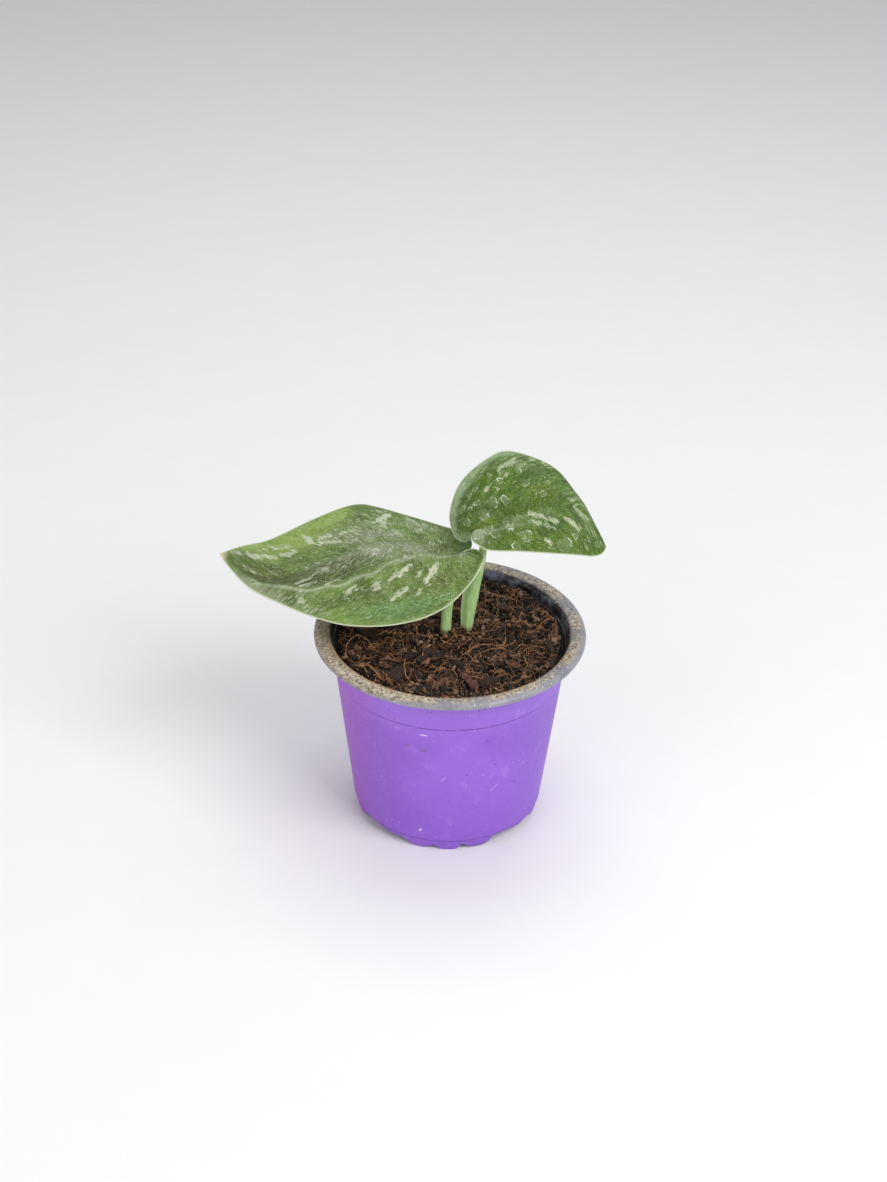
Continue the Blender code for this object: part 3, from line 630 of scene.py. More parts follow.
def purplePlastic():
    material, tree, shader = newMaterial("purplePlastic", 0.45, 0.32)
    tones = purpleTones
    place = objectPlace(tree)
    across, _, height = partsOf(tree, place)[:3]
    broad = noiseAt(tree, place, 22.0, 2.0)
    mottle = noiseAt(tree, place, 420.0, 4.0, 0.7)
    rubbed = noiseAt(tree, place, 90.0, 5.0, 0.7)
    underLip = fade(tree, height, 79.0 * mm, 89.0 * mm, 0.0, 0.9)
    left = fade(tree, across, (axisX + 5.0) * mm, (axisX - 30.0) * mm)
    upperLeft = times(tree, fade(tree, height, 50.0 * mm, 80.0 * mm), left)
    colour = mixed(tree, fade(tree, broad, 0.35, 0.65), tones["base"], tones["patch"])
    colour = coated(
        tree, colour,
        (fade(tree, height, 62.0 * mm, 86.0 * mm, 0.0, 0.70), tones["underLip"]),
        (fade(tree, height, 55.0 * mm, 8.0 * mm, 0.0, 0.40), tones["low"]),
        # the left flank turns redder and darker: painted shade on the side away from the key light, with some
        # sun fade
        (fade(tree, across, (axisX - 22.0) * mm, (axisX - 50.0) * mm, 0.0, 0.8), tones["fadedAndShadedFlank"]),
        (fade(tree, mottle, 0.45, 0.75, 0.0, 0.16), tones["mottle"]),
        (fade(tree, rubbed, 0.58, 0.72, 0.0, 0.30), tones["rubbed"]),
        (specks(tree, place, 240.0, 0.13, 0.16), tones["speck"]),
        (specks(tree, place, 620.0, 0.17, 0.05), tones["smallSpeck"]),
        (times(tree, specks(tree, place, 330.0, 0.17, 0.22), underLip), tones["lipSpeck"]),
        (times(tree, specks(tree, place, 450.0, 0.20, 0.20), upperLeft), tones["leftSpeck"]),
        (specks(tree, place, 500.0, 0.16, 0.04), tones["paleSpeck"]),
        (times(tree, strokes(tree, place, dirtSpots, 1.3), 0.7), tones["dirt"]),
        (times(tree, strokes(tree, place, scratches, 0.9), 0.75), tones["scratch"]),
    )
    # the ring line and the crease get a thin dark purple line: painted shade in the step, with some dirt
    ringLine = (pot["ringHeight"] - 0.1, 0.42, 0.95)
    crease = (pot["creaseHeight"] - 0.05, 0.45, 0.85)
    for level, half, share in (ringLine, crease):
        offLine = calc(tree, "ABSOLUTE", minus(tree, height, level * mm))
        line = fade(tree, offLine, half * mm, 0.4 * half * mm, 0.0, share)
        broken = times(tree, line, fade(tree, rubbed, 0.36, 0.50, 0.25, 1.0))
        colour = mixed(tree, broken, colour, tones["line"])
    colour = mixed(tree, fade(tree, height, 6.0 * mm, 0.0, 0.0, 0.12), colour, tones["foot"])
    grain = noiseAt(tree, place, 1500.0, 3.0)
    worn = plus(tree, times(tree, rubbed, 0.6), times(tree, grain, 0.4))
    relief = plus(tree, times(tree, noiseAt(tree, place, 60.0, 2.0), 2.0), grain)
    finishLook(tree, shader, colour, fade(tree, worn, 0.3, 0.7, 0.40, 0.58), relief, 0.00006, 0.5)
    return material


darkTones = {
    # the bluish grey on the inner wall's far right is a painted reflection of the sky, with grit over it
    "inside": (0.012, 0.011, 0.013), "insidePatch": (0.050, 0.048, 0.056), "paintedSkyReflection": (0.195, 0.210, 0.285),
    "wallGritAndReflection": (0.26, 0.25, 0.25), "lip": (0.215, 0.225, 0.265), "lipPatch": (0.310, 0.315, 0.345),
    "lipGrit": (0.42, 0.41, 0.41), "dustLow": (0.165, 0.125, 0.090), "dust": (0.600, 0.520, 0.395),
    "dustHigh": (0.80, 0.74, 0.62), "rust": (0.42, 0.255, 0.125), "darkGrain": (0.08, 0.05, 0.03),
    "paleGrain": (0.80, 0.77, 0.70), "wallDust": (0.35, 0.30, 0.25),
}


def darkPlastic():
    material, tree, shader = newMaterial("darkPlastic", 0.4, 0.5)
    tones = darkTones
    place = objectPlace(tree)
    fromAxis = vectorCalc(tree, "SUBTRACT", place, (axisX * mm, 0.0, 0.0))
    across, back, height = partsOf(tree, fromAxis)[:3]
    radius = vectorCalc(tree, "LENGTH", vectorCalc(tree, "MULTIPLY", fromAxis, (1.0, 1.0, 0.0)))
    grain = noiseAt(tree, place, 1300.0, 5.0, 0.75)
    grit = noiseAt(tree, place, 620.0, 4.0, 0.75)
    patches = noiseAt(tree, place, 75.0, 4.0, 0.6)
    inner, top, rim = pot["lipInnerRadius"], pot["lipInnerHeight"], pot["rimRadius"]
    # inside: black, with a painted bluish-grey reflection of the sky on the far right of the wall, broken by
    # grey grit
    farRight = times(tree, fade(tree, across, -0.010, 0.020), fade(tree, back, -0.005, 0.025))
    paintedSkyReflection = times(tree, farRight, fade(tree, patches, 0.42, 0.60))
    inside = coated(
        tree, tones["inside"],
        (fade(tree, patches, 0.4, 0.7), tones["insidePatch"]),
        (times(tree, paintedSkyReflection, 0.9), tones["paintedSkyReflection"]),
        (times(tree, farRight, fade(tree, grit, 0.56, 0.68, 0.0, 0.7)), tones["wallGritAndReflection"]),
    )
    lip = mixed(tree, fade(tree, patches, 0.35, 0.65), tones["lip"], tones["lipPatch"])
    lip = mixed(tree, fade(tree, grit, 0.52, 0.70, 0.0, 0.5), lip, tones["lipGrit"])
    onLip = fade(tree, radius, (inner - 1.7) * mm, (inner - 0.6) * mm)
    # gritty tan dust on the lip's top, thinning out towards the rounded edge, which it covers on the left
    left = fade(tree, across, 0.010, -0.040)
    outerEnd = minus(tree, plus(tree, radius, swing(tree, grit, 0.004)), times(tree, left, 1.7 * mm))
    raised = plus(tree, height, times(tree, left, 1.0 * mm))
    inDust = times(tree, fade(tree, outerEnd, (rim - 1.0) * mm, (rim - 2.6) * mm), onLip)
    inDust = times(tree, inDust, fade(tree, raised, (top - 1.6) * mm, (top - 0.7) * mm))
    pushed = plus(tree, plus(tree, patches, times(tree, grit, 0.8)), times(tree, left, 0.30))
    cover = times(tree, inDust, fade(tree, pushed, 0.70, 1.0))
    dust = mixed(tree, fade(tree, grit, 0.36, 0.62), tones["dustLow"], tones["dust"])
    dust = mixed(tree, fade(tree, grain, 0.56, 0.70), dust, tones["dustHigh"])
    # a rusty line of dust along the inner edge
    offEdge = calc(tree, "ABSOLUTE", minus(tree, radius, (inner - 0.4) * mm))
    rust = times(tree, fade(tree, offEdge, 1.1 * mm, 0.3 * mm), fade(tree, pushed, 0.78, 1.05, 0.1, 0.9))
    rust = times(tree, rust, fade(tree, height, (top - 2.2) * mm, (top - 0.9) * mm))
    rust = times(tree, rust, fade(tree, back, 0.010, -0.025, 0.2, 1.0))
    wallDust = times(tree, specks(tree, place, 700.0, 0.26, 0.20), fade(tree, patches, 0.45, 0.6))
    colour = coated(
        tree, inside,
        (onLip, lip), (cover, dust), (rust, tones["rust"]),
        (times(tree, specks(tree, place, 620.0, 0.26, 0.22), inDust), tones["darkGrain"]),
        (times(tree, specks(tree, place, 800.0, 0.26, 0.26), onLip), tones["paleGrain"]),
        (times(tree, wallDust, 0.55), tones["wallDust"]),
    )
    dull = plus(tree, times(tree, cover, 0.45), fade(tree, grain, 0.3, 0.7, 0.26, 0.42))
    relief = times(tree, plus(tree, grain, grit), plus(tree, cover, 0.12))
    finishLook(tree, shader, colour, dull, relief, 0.0004, 0.7)
    return material


def buildPot():
    rows, darkRow = potProfile()
    edges = [(number, number + 1) for number in range(len(rows) - 1)]
    mesh = bpy.data.meshes.new("potProfile")
    mesh.from_pydata([(radius * mm, height * mm, share) for radius, height, share in rows], edges, [])
    carrier = addPiece("potProfile", mesh)
    sizes = {
        "Steps Around": pot["stepsAround"], "Rows": len(rows), "Axis X": axisX * mm,
        "Foot Groups": pot["footGroups"], "Arch Start": (pot["firstArch"] - pot["archWidth"] / 2) / 360.0,
        "Holes": pot["holes"], "Hole Radius": pot["holeRadius"] * mm, "Hole Circle": pot["holeCircle"] * mm,
        "Floor Level": (pot["floorUnderside"] + pot["floorTop"]) / 2 * mm,
    }
    shell = grow("potShell", carrier, potTree(sizes, 6.0, darkRow), sizes)
    bpy.data.objects.remove(carrier, do_unlink=True)
    smoothShade(shell, 50.0)
    dress(shell, "pot")
    return shell


potShell = buildPot()
say(f"pot shell: {len(potShell.data.polygons)} faces")


# Soil: a rough bed with crumbs, bark chips and coir fibres strewn on it

soil = {
    "gap": 0.3, "level": 85.9, "rearRise": 1.3, "leftDip": 0.9, "lump": 0.7,
    "ringsAcross": 84, "stepsAround": 240, "roughness": 1.9, "scatterRadius": 49.2,
    "stalkFeet": ((-1.9, 5.7), (7.3, 8.2)), "stalkHollow": 1.3, "hollowReach": 3.6,
}
# Density is per square metre; the sizes are half the width, and Facets is the sphere's subdivision
crumbKinds = {
    "soilCrumbs": {"Density": 330000.0, "Smallest": 0.35, "Largest": 1.45, "Stretch": 1.9, "Flatten": 0.55,
                   "Ragged": 0.70, "Tumble": 1.2, "Sink": -0.3, "Facets": 1, "Seed": 3},
    "soilGrains": {"Density": 800000.0, "Smallest": 0.14, "Largest": 0.42, "Stretch": 1.5, "Flatten": 0.7,
                   "Ragged": 0.25, "Tumble": 3.0, "Sink": -0.3, "Facets": 1, "Seed": 11},
    "peatLumps": {"Density": 36000.0, "Smallest": 1.0, "Largest": 2.5, "Stretch": 1.5, "Flatten": 0.6,
                  "Ragged": 1.1, "Tumble": 1.5, "Sink": -0.1, "Facets": 2, "Seed": 5},
    "barkChips": {"Density": 34000.0, "Smallest": 0.5, "Largest": 1.25, "Stretch": 3.0, "Flatten": 0.45,
                  "Ragged": 0.5, "Tumble": 0.5, "Sink": -0.6, "Facets": 2, "Seed": 8},
}
fibreKinds = {
    "coirFibres": {"Density": 34000.0, "Shortest": 3.0, "Longest": 12.0, "Curl": 4.8, "Lift": 2.1,
                   "Thickness": 0.12, "Seed": 21},
    "coirWisps": {"Density": 76000.0, "Shortest": 1.5, "Longest": 6.5, "Curl": 3.2, "Lift": 1.6,
                  "Thickness": 0.075, "Seed": 34},
}
lipGrit = {"Density": 900000.0, "Smallest": 0.08, "Largest": 0.42, "Stretch": 1.3, "Flatten": 0.6,
           "Ragged": 0.15, "Tumble": 3.0, "Sink": 0.0, "Facets": 1, "Seed": 17}
# Pieces that stand out: one end, the other end, width, thickness, how far it is lifted, and its tone
loosePieces = {
    "splinter": ((-36.1, -22.9), (-29.3, -33.8), 0.9, 0.5, 1.7, (0.50, 0.23, 0.085)),
    "maroonChip": ((5.2, -29.0), (12.0, -40.5), 3.4, 1.6, 1.6, (0.130, 0.052, 0.036)),
    "darkChip": ((-13.7, -20.0), (-7.8, -12.0), 3.6, 1.8, 1.4, (0.060, 0.034, 0.026)),
    "darkChunk": ((-19.6, -19.2), (-15.1, -13.3), 3.8, 2.2, 1.2, (0.040, 0.022, 0.016)),
    "brownChip": ((-7.4, -38.5), (-1.5, -31.0), 3.0, 1.4, 1.2, (0.150, 0.068, 0.034)),
    "frontBlock": ((-26.2, -34.5), (-18.1, -24.2), 6.4, 2.6, 0.9, (0.050, 0.024, 0.017)),
    "frontChunk": ((13.6, -37.0), (20.6, -31.2), 5.6, 2.4, 0.9, (0.038, 0.019, 0.012)),
    "sideChip": ((42.0, -3.4), (45.2, -10.4), 2.6, 1.4, 1.2, (0.055, 0.028, 0.018)),
    "greyChunk": ((-7.0, -18.0), (-3.6, -12.6), 2.8, 1.8, 1.2, (0.050, 0.036, 0.032)),
    "redChip": ((24.0, -20.0), (31.0, -22.0), 2.8, 1.4, 1.3, (0.140, 0.060, 0.034)),
    "rearChip": ((20.0, 24.0), (27.5, 21.0), 3.0, 1.6, 1.2, (0.070, 0.032, 0.020)),
    "leftChip": ((-38.0, -12.0), (-31.0, -15.0), 2.6, 1.4, 1.2, (0.045, 0.022, 0.014)),
}
# Long hairs that stand out, by their places on the bed, with their lift over it
longHairs = (
    ((29.2, -1.6, 1.2), (27.6, -6.5, 3.0), (22.0, -10.4, 2.8), (16.4, -12.4, 2.3), (10.8, -17.2, 2.6),
     (7.6, -25.0, 1.4)),
    ((24.8, -9.2, 1.2), (17.0, -8.6, 2.6), (9.4, -11.8, 2.4), (3.0, -19.0, 1.2)),
    ((-45.5, -17.3, 1.3), (-44.6, -9.0, 2.8), (-40.2, -2.6, 3.2), (-34.1, -8.7, 2.0), (-34.6, -15.5, 1.0)),
    ((26.4, 39.7, 1.2), (29.0, 35.0, 2.6), (31.5, 32.4, 2.6), (35.5, 32.9, 1.3)),
    ((-19.4, -19.6, 2.2), (-19.4, -27.0, 3.4), (-17.8, -33.5, 2.6), (-13.2, -38.0, 1.2)),
    ((-49.0, 4.5, 1.0), (-46.0, -1.5, 3.0), (-47.8, -8.5, 2.2), (-43.5, -10.5, 1.2)),
    ((38.5, 6.0, 1.2), (43.0, 13.5, 2.8), (46.6, 15.0, 2.2), (47.5, 9.5, 1.2)),
    ((-3.5, -6.5, 1.2), (3.5, -3.0, 3.4), (9.5, -6.0, 3.0), (8.0, -11.5, 1.2)),
    ((-26.0, -3.5, 1.0), (-20.5, -7.5, 3.0), (-21.5, -14.0, 2.4), (-26.5, -15.5, 1.2)),
    ((30.0, -14.0, 1.2), (36.0, -9.0, 2.8), (43.0, -8.5, 1.4)),
    ((-9.0, -30.0, 1.0), (-3.0, -27.0, 2.8), (3.0, -30.0, 2.4), (2.0, -37.0, 1.2)),
)


def soilLevel(x, y):
    # the soil's uneven top, higher at the rear and lower at the left wall
    reach = pot["ledgeRadius"]
    tilt = soil["rearRise"] * y / reach + soil["leftDip"] * np.minimum(0.0, x + 0.3 * reach) / reach
    lumps = np.sin(0.31 * x + 0.9) * np.cos(0.27 * y - 0.4) + 0.6 * np.sin(0.19 * (x + y))
    return soil["level"] + tilt + soil["lump"] * lumps


def stalkHollows(x, y):
    # the soil is pressed down a little round each stalk
    hollow = np.zeros_like(x)
    for footX, footY in soil["stalkFeet"]:
        hollow += np.exp(-((x - footX) ** 2 + (y - footY) ** 2) / soil["hollowReach"] ** 2)
    return -soil["stalkHollow"] * hollow


def ringPoints(radius, level, around):
    turn = 2.0 * np.pi * np.arange(around) / around
    x, y = radius * np.cos(turn), radius * np.sin(turn)
    return np.stack([x, y, np.full(around, level)], -1)


def soilMesh(name, topOnly):
    around = soil["stepsAround"]
    topRadius = pot["ledgeRadius"] - soil["gap"]
    rings = []
    loose = []
    if not topOnly:
        wallTop = float(soilLevel(0.0, 0.0)) - 4.0
        for radius, level in ((pot["floorEdgeRadius"] - 0.9, pot["floorTop"] + soil["gap"]),
                              (pot["floorEdgeRadius"] - soil["gap"], pot["floorTop"] + 1.2),
                              (topRadius - 0.4, wallTop)):
            rings.append(ringPoints(radius, level, around))
            loose.append(np.zeros(around))
    for radius in np.linspace(topRadius, topRadius / soil["ringsAcross"], soil["ringsAcross"]):
        ring = ringPoints(radius, 0.0, around)
        ring[:, 2] = soilLevel(ring[:, 0], ring[:, 1]) + stalkHollows(ring[:, 0], ring[:, 1])
        rings.append(ring)
        loose.append(np.full(around, min(1.0, (topRadius - radius) / 1.5)))
    faces = ringFaces(0, len(rings), around)
    last = (len(rings) - 1) * around
    points = np.vstack([*rings, [[0.0, 0.0, float(soilLevel(0.0, 0.0))]]])
    faces += [(last + step, last + (step + 1) % around, len(points) - 1) for step in range(around)]
    shares = np.append(np.concatenate(loose), 1.0)
    if not topOnly:
        points = np.vstack([points, [[0.0, 0.0, pot["floorTop"] + soil["gap"]]]])
        faces += [((step + 1) % around, step, len(points) - 1) for step in range(around)]
        shares = np.append(shares, 0.0)
    mesh = meshFrom(name, points, faces)
    paint(mesh, "looseShare", shares)
    return mesh


def reliefTree(sizes, material):
    tree, given, result = newTree("soilRelief", sizes)
    place = pointPlace(tree)
    share = storedNumber(tree, "looseShare")
    lumps = minus(tree, noiseAt(tree, place, 260.0, 3.0, 0.6), 0.55)
    pits = fade(tree, noiseAt(tree, place, 420.0, 2.0), 0.36, 0.5, -0.6, 0.0)
    rise = times(tree, plus(tree, times(tree, lumps, 2.0), pits), given["Roughness"])
    offset = joined(tree, 0.0, 0.0, times(tree, rise, share))
    moved = addNode(tree, "GeometryNodeSetPosition", {"Geometry": given["Geometry"], "Offset": offset})
    return closeTree(tree, moved.outputs[0], material, result)


def strewOn(tree, given):
    return addNode(tree, "GeometryNodeDistributePointsOnFaces", {
        "Mesh": given["Geometry"], "Density": given["Density"], "Seed": given["Seed"],
    }).outputs["Points"]


def tintedPieces(tree, placed, given):
    # gives each repeat its own tint, makes all of them real and gives a place that differs from one
    # to the next, so that no two are shaped alike by the noise that is read there
    tinted = addNode(tree, "GeometryNodeStoreNamedAttribute", {
        "Geometry": placed.outputs[0], "Name": "tint",
        "Value": randomIn(tree, 0.0, 1.0, plus(tree, given["Seed"], 2.0)),
    }, data_type="FLOAT", domain="INSTANCE")
    real = addNode(tree, "GeometryNodeRealizeInstances", {"Geometry": tinted.outputs[0]})
    tint = storedNumber(tree, "tint")
    place = pointPlace(tree)
    return real.outputs[0], tint, place, vectorCalc(tree, "ADD", place, joined(tree, tint, tint, tint))


def crumbTree(name, sizes, material):
    # irregular lumps strewn over the carrier
    tree, given, result = newTree(name, sizes)
    lump = addNode(tree, "GeometryNodeMeshIcoSphere", {"Radius": 1.0, "Subdivisions": given["Facets"]})
    chance = calc(tree, "POWER", randomIn(tree, 0.0, 1.0, given["Seed"]), 2.4)
    span = minus(tree, given["Largest"], given["Smallest"])
    size = plus(tree, given["Smallest"], times(tree, chance, span))
    back = times(tree, given["Tumble"], -1.0)
    lowTurn = joined(tree, back, back, -math.pi)
    highTurn = joined(tree, given["Tumble"], given["Tumble"], math.pi)
    placed = addNode(tree, "GeometryNodeInstanceOnPoints", {
        "Points": strewOn(tree, given), "Instance": lump.outputs[0],
        "Scale": joined(tree, times(tree, size, given["Stretch"]), size, times(tree, size, given["Flatten"])),
        "Rotation": randomIn(tree, lowTurn, highTurn, plus(tree, given["Seed"], 1.0), "FLOAT_VECTOR"),
    })
    real, _, _, shifted = tintedPieces(tree, placed, given)
    dents = scaled(tree, shiftAt(tree, shifted, 900.0, 2.0), times(tree, given["Ragged"], 2.0))
    sink = joined(tree, 0.0, 0.0, times(tree, given["Sink"], -1.0))
    moved = addNode(tree, "GeometryNodeSetPosition", {
        "Geometry": real, "Offset": vectorCalc(tree, "ADD", dents, sink),
    })
    return closeTree(tree, moved.outputs[0], material, result)


def fibreTree(name, sizes, material):
    # curly hairs of coir that lie over the bed
    tree, given, result = newTree(name, sizes)
    straight = addNode(tree, "GeometryNodeCurvePrimitiveLine", {
        "Start": (-0.5, 0.0, 0.0), "End": (0.5, 0.0, 0.0),
    })
    divided = addNode(tree, "GeometryNodeResampleCurve", {"Curve": straight.outputs[0], "Count": 14})
    length = randomIn(tree, given["Shortest"], given["Longest"], given["Seed"])
    lowTurn, highTurn = (-0.25, -0.25, -math.pi), (0.25, 0.25, math.pi)
    placed = addNode(tree, "GeometryNodeInstanceOnPoints", {
        "Points": strewOn(tree, given), "Instance": divided.outputs[0],
        "Rotation": randomIn(tree, lowTurn, highTurn, plus(tree, given["Seed"], 1.0), "FLOAT_VECTOR"),
        "Scale": joined(tree, length, length, length),
    })
    real, tint, place, shifted = tintedPieces(tree, placed, given)
    bends = scaled(tree, shiftAt(tree, shifted, 130.0, 1.5), times(tree, given["Curl"], 2.0))
    curled = addNode(tree, "GeometryNodeSetPosition", {"Geometry": real, "Offset": bends})
    # kept inside the pot's wall, then laid on the bed
    fromAxis = vectorCalc(tree, "SUBTRACT", place, (axisX * mm, 0.0, 0.0))
    flat = vectorCalc(tree, "MULTIPLY", fromAxis, (1.0, 1.0, 0.0))
    away = calc(tree, "MAXIMUM", vectorCalc(tree, "LENGTH", flat), 1e-6)
    reach = calc(tree, "MINIMUM", calc(tree, "DIVIDE", given["Reach"], away), 1.0)
    inside = vectorCalc(tree, "ADD", scaled(tree, flat, reach), (axisX * mm, 0.0, 0.0))
    x, y, level = partsOf(tree, place)[:3]
    penned = addNode(tree, "GeometryNodeSetPosition", {
        "Geometry": curled.outputs[0],
        "Position": vectorCalc(tree, "ADD", inside, joined(tree, 0.0, 0.0, level)),
    })
    below = addNode(tree, "GeometryNodeRaycast", {
        "Target Geometry": given["Geometry"], "Ray Direction": (0.0, 0.0, -1.0), "Ray Length": 60 * mm,
        "Source Position": vectorCalc(tree, "ADD", place, (0.0, 0.0, 20 * mm)),
    })
    bedLevel = partsOf(tree, below.outputs["Hit Position"])[2]
    waves = fade(tree, noiseAt(tree, shifted, 170.0, 1.0), 0.3, 0.7, 0.25, 1.5)
    laid = addNode(tree, "GeometryNodeSetPosition", {
        "Geometry": penned.outputs[0], "Selection": below.outputs["Is Hit"],
        "Position": joined(tree, x, y, plus(tree, bedLevel, times(tree, given["Lift"], waves))),
    })
    section = addNode(tree, "GeometryNodeCurvePrimitiveCircle", {
        "Resolution": 5, "Radius": given["Thickness"],
    })
    width = addNode(tree, "GeometryNodeSetCurveRadius", {
        "Curve": laid.outputs[0], "Radius": fade(tree, tint, 0.0, 1.0, 0.6, 1.5),
    })
    tube = addNode(tree, "GeometryNodeCurveToMesh", {
        "Curve": width.outputs[0], "Profile Curve": section.outputs[0], "Fill Caps": True,
    })
    return closeTree(tree, tube.outputs[0], material, result)


# Darkest, middle and lightest tone of each earth, its roughness and how far painted shade darkens it to the
# right
earths = {
    # the bed is near black: dark earth with painted shade for the gaps between the crumbs
    "bedEarthAndGapShade": ((0.002, 0.0015, 0.001), (0.007, 0.004, 0.003), (0.025, 0.013, 0.008), 0.9, 0.0),
    "looseEarth": ((0.004, 0.003, 0.002), (0.030, 0.017, 0.012), (0.400, 0.225, 0.142), 0.65, 0.32),
    "lipSand": ((0.070, 0.045, 0.030), (0.330, 0.240, 0.150), (0.760, 0.680, 0.540), 0.9, 0.0),
}
barkTones = {"dark": (0.040, 0.020, 0.012), "light": (0.165, 0.075, 0.038), "streak": (0.29, 0.165, 0.095)}
fibreTones = {
    "dark": (0.085, 0.036, 0.017), "light": (0.44, 0.200, 0.078), "palest": (0.76, 0.40, 0.17),
    "streak": (0.60, 0.29, 0.115),
}


def earthMaterial(name):
    darkest, middle, lightest, roughness, rightPaintedShade = earths[name]
    material, tree, shader = newMaterial(name, roughness, 0.35)
    place = objectPlace(tree)
    grain = noiseAt(tree, place, 1400.0, 4.0, 0.7)
    patches = noiseAt(tree, place, 95.0, 2.0)
    tone = plus(tree, times(tree, readNumber(tree, "tint"), 0.66), times(tree, patches, 0.40))
    across = partsOf(tree, place)[0]
    colour = mixed(tree, fade(tree, tone, 0.40, 0.64), darkest, middle)
    colour = coated(
        tree, colour,
        (fade(tree, tone, 0.70, 0.83, 0.0, 0.85), lightest),
        (fade(tree, grain, 0.56, 0.70, 0.0, 0.40), lightest),
        (fade(tree, grain, 0.48, 0.30, 0.0, 0.7), darkest),
        # painted shade: the earth darkens towards the right
        (fade(tree, across, (axisX + 6.0) * mm, (axisX + 34.0) * mm, 0.0, rightPaintedShade), darkest),
    )
    dull = fade(tree, grain, 0.3, 0.7, roughness - 0.2, roughness)
    finishLook(tree, shader, colour, dull, grain, 0.0003, 0.8)
    return material


def barkMaterial():
    material, tree, shader = newMaterial("bark", 0.8, 0.3)
    tint = readNumber(tree, "tint")
    streaks = noiseAt(tree, objectPlace(tree), 1100.0, 4.0, 0.65, 1.2)
    colour = mixed(tree, fade(tree, tint, 0.2, 0.8), barkTones["dark"], barkTones["light"])
    colour = mixed(tree, fade(tree, streaks, 0.5, 0.75, 0.0, 0.6), colour, barkTones["streak"])
    finishLook(tree, shader, colour, fade(tree, streaks, 0.3, 0.7, 0.6, 0.85), streaks, 0.0003, 0.8)
    return material


def fibreMaterial():
    material, tree, shader = newMaterial("coirFibre", 0.55, 0.4)
    tint = readNumber(tree, "tint")
    streaks = noiseAt(tree, objectPlace(tree), 700.0, 3.0)
    colour = mixed(tree, fade(tree, tint, 0.25, 0.85), fibreTones["dark"], fibreTones["light"])
    colour = mixed(tree, fade(tree, tint, 0.84, 0.98), colour, fibreTones["palest"])
    colour = mixed(tree, fade(tree, streaks, 0.45, 0.75, 0.0, 0.45), colour, fibreTones["streak"])
    finishLook(tree, shader, colour, fade(tree, streaks, 0.3, 0.7, 0.45, 0.65), streaks, 0.0001, 0.4)
    return material


def chipMaterial(name, tone):
    # streaked along the grain and gritty with dust
    material, tree, shader = newMaterial(name, 0.7, 0.35)
    grainPlace = addNode(tree, "ShaderNodeAttribute", attribute_name="grainPlace").outputs["Vector"]
    streaks = noiseAt(tree, grainPlace, 1.3, 6.0, 0.78, 0.5)
    gritty = noiseAt(tree, objectPlace(tree), 1300.0, 5.0, 0.8)
    pale = tuple(min(1.0, part * 3.4 + 0.04) for part in tone)
    dark = tuple(part * 0.25 for part in tone)
    colour = mixed(tree, fade(tree, streaks, 0.40, 0.53), dark, tone)
    colour = coated(
        tree, colour,
        (fade(tree, streaks, 0.54, 0.66, 0.0, 0.8), pale),
        (fade(tree, gritty, 0.47, 0.38, 0.0, 0.8), dark),
        (fade(tree, gritty, 0.57, 0.66, 0.0, 0.7), pale),
    )
    dull = fade(tree, streaks, 0.3, 0.7, 0.6, 0.85)
    finishLook(tree, shader, colour, dull, plus(tree, streaks, gritty), 0.0006, 1.0)
    return material


def buildLoosePieces():
    # splintered bars of bark and wood, grained along their length
    sides, rings = 14, 18
    turn = 2.0 * np.pi * (np.arange(sides) + 0.5) / sides
    square = np.maximum(np.abs(np.cos(turn)), np.abs(np.sin(turn))) ** -0.75
    for number, (name, piece) in enumerate(loosePieces.items()):
        start, end, width, thick, lift, tone = piece
        chance = np.random.default_rng(40 + number)
        a = np.array([*start, float(soilLevel(*start)) + lift])
        b = np.array([*end, float(soilLevel(*end)) + lift + chance.uniform(-0.3, 0.6)])
        length = np.linalg.norm(b - a)
        along = unit(b - a)
        sideways = unit(np.cross(along, (0.0, 0.0, 1.0)))
        upward = np.cross(sideways, along)
        corners = (sideways * (0.5 * width * np.cos(turn))[:, None]
                   + upward * (0.5 * thick * np.sin(turn))[:, None])
        ridges = square * (1.0 + chance.uniform(-0.16, 0.16, sides))
        points, grainPlace = [], []
        for ring in range(rings):
            share = ring / (rings - 1)
            taper = min(1.0, 5.0 * share + 0.35, 5.0 * (1.0 - share) + 0.25)
            taper *= 1.0 + 0.14 * math.sin(7.0 * share + number)
            ends = chance.uniform(-0.35, 0.35, sides) * (ring in (0, rings - 1)) * width * 0.5
            rough = ridges * (1.0 + chance.uniform(-0.13, 0.13, sides)) * taper
            centre = a + (b - a) * share + upward * 0.25 * thick * math.sin(2.5 * share + number)
            points += list(centre + corners * rough[:, None] + along * ends[:, None])
            grainPlace += [(angle * width * 0.9 + 5.0 * number, 0.35 * share * length, 0.0) for angle in turn]
        first, last = np.mean(points[:sides], axis=0), np.mean(points[-sides:], axis=0)
        points += [first - along * 0.1 * width, last + along * 0.1 * width]
        grainPlace += [(5.0 * number, 0.0, 0.0), (5.0 * number, 4.0, 0.0)]
        mesh = meshFrom(name, points, ringFaces(0, rings, sides) + endCaps(rings, sides))
        paint(mesh, "grainPlace", grainPlace)
        mesh.materials.append(chipMaterial(name + "Wood", tone))
        item = addPiece(name, mesh)
        smoothShade(item, 18.0)
        dress(item)


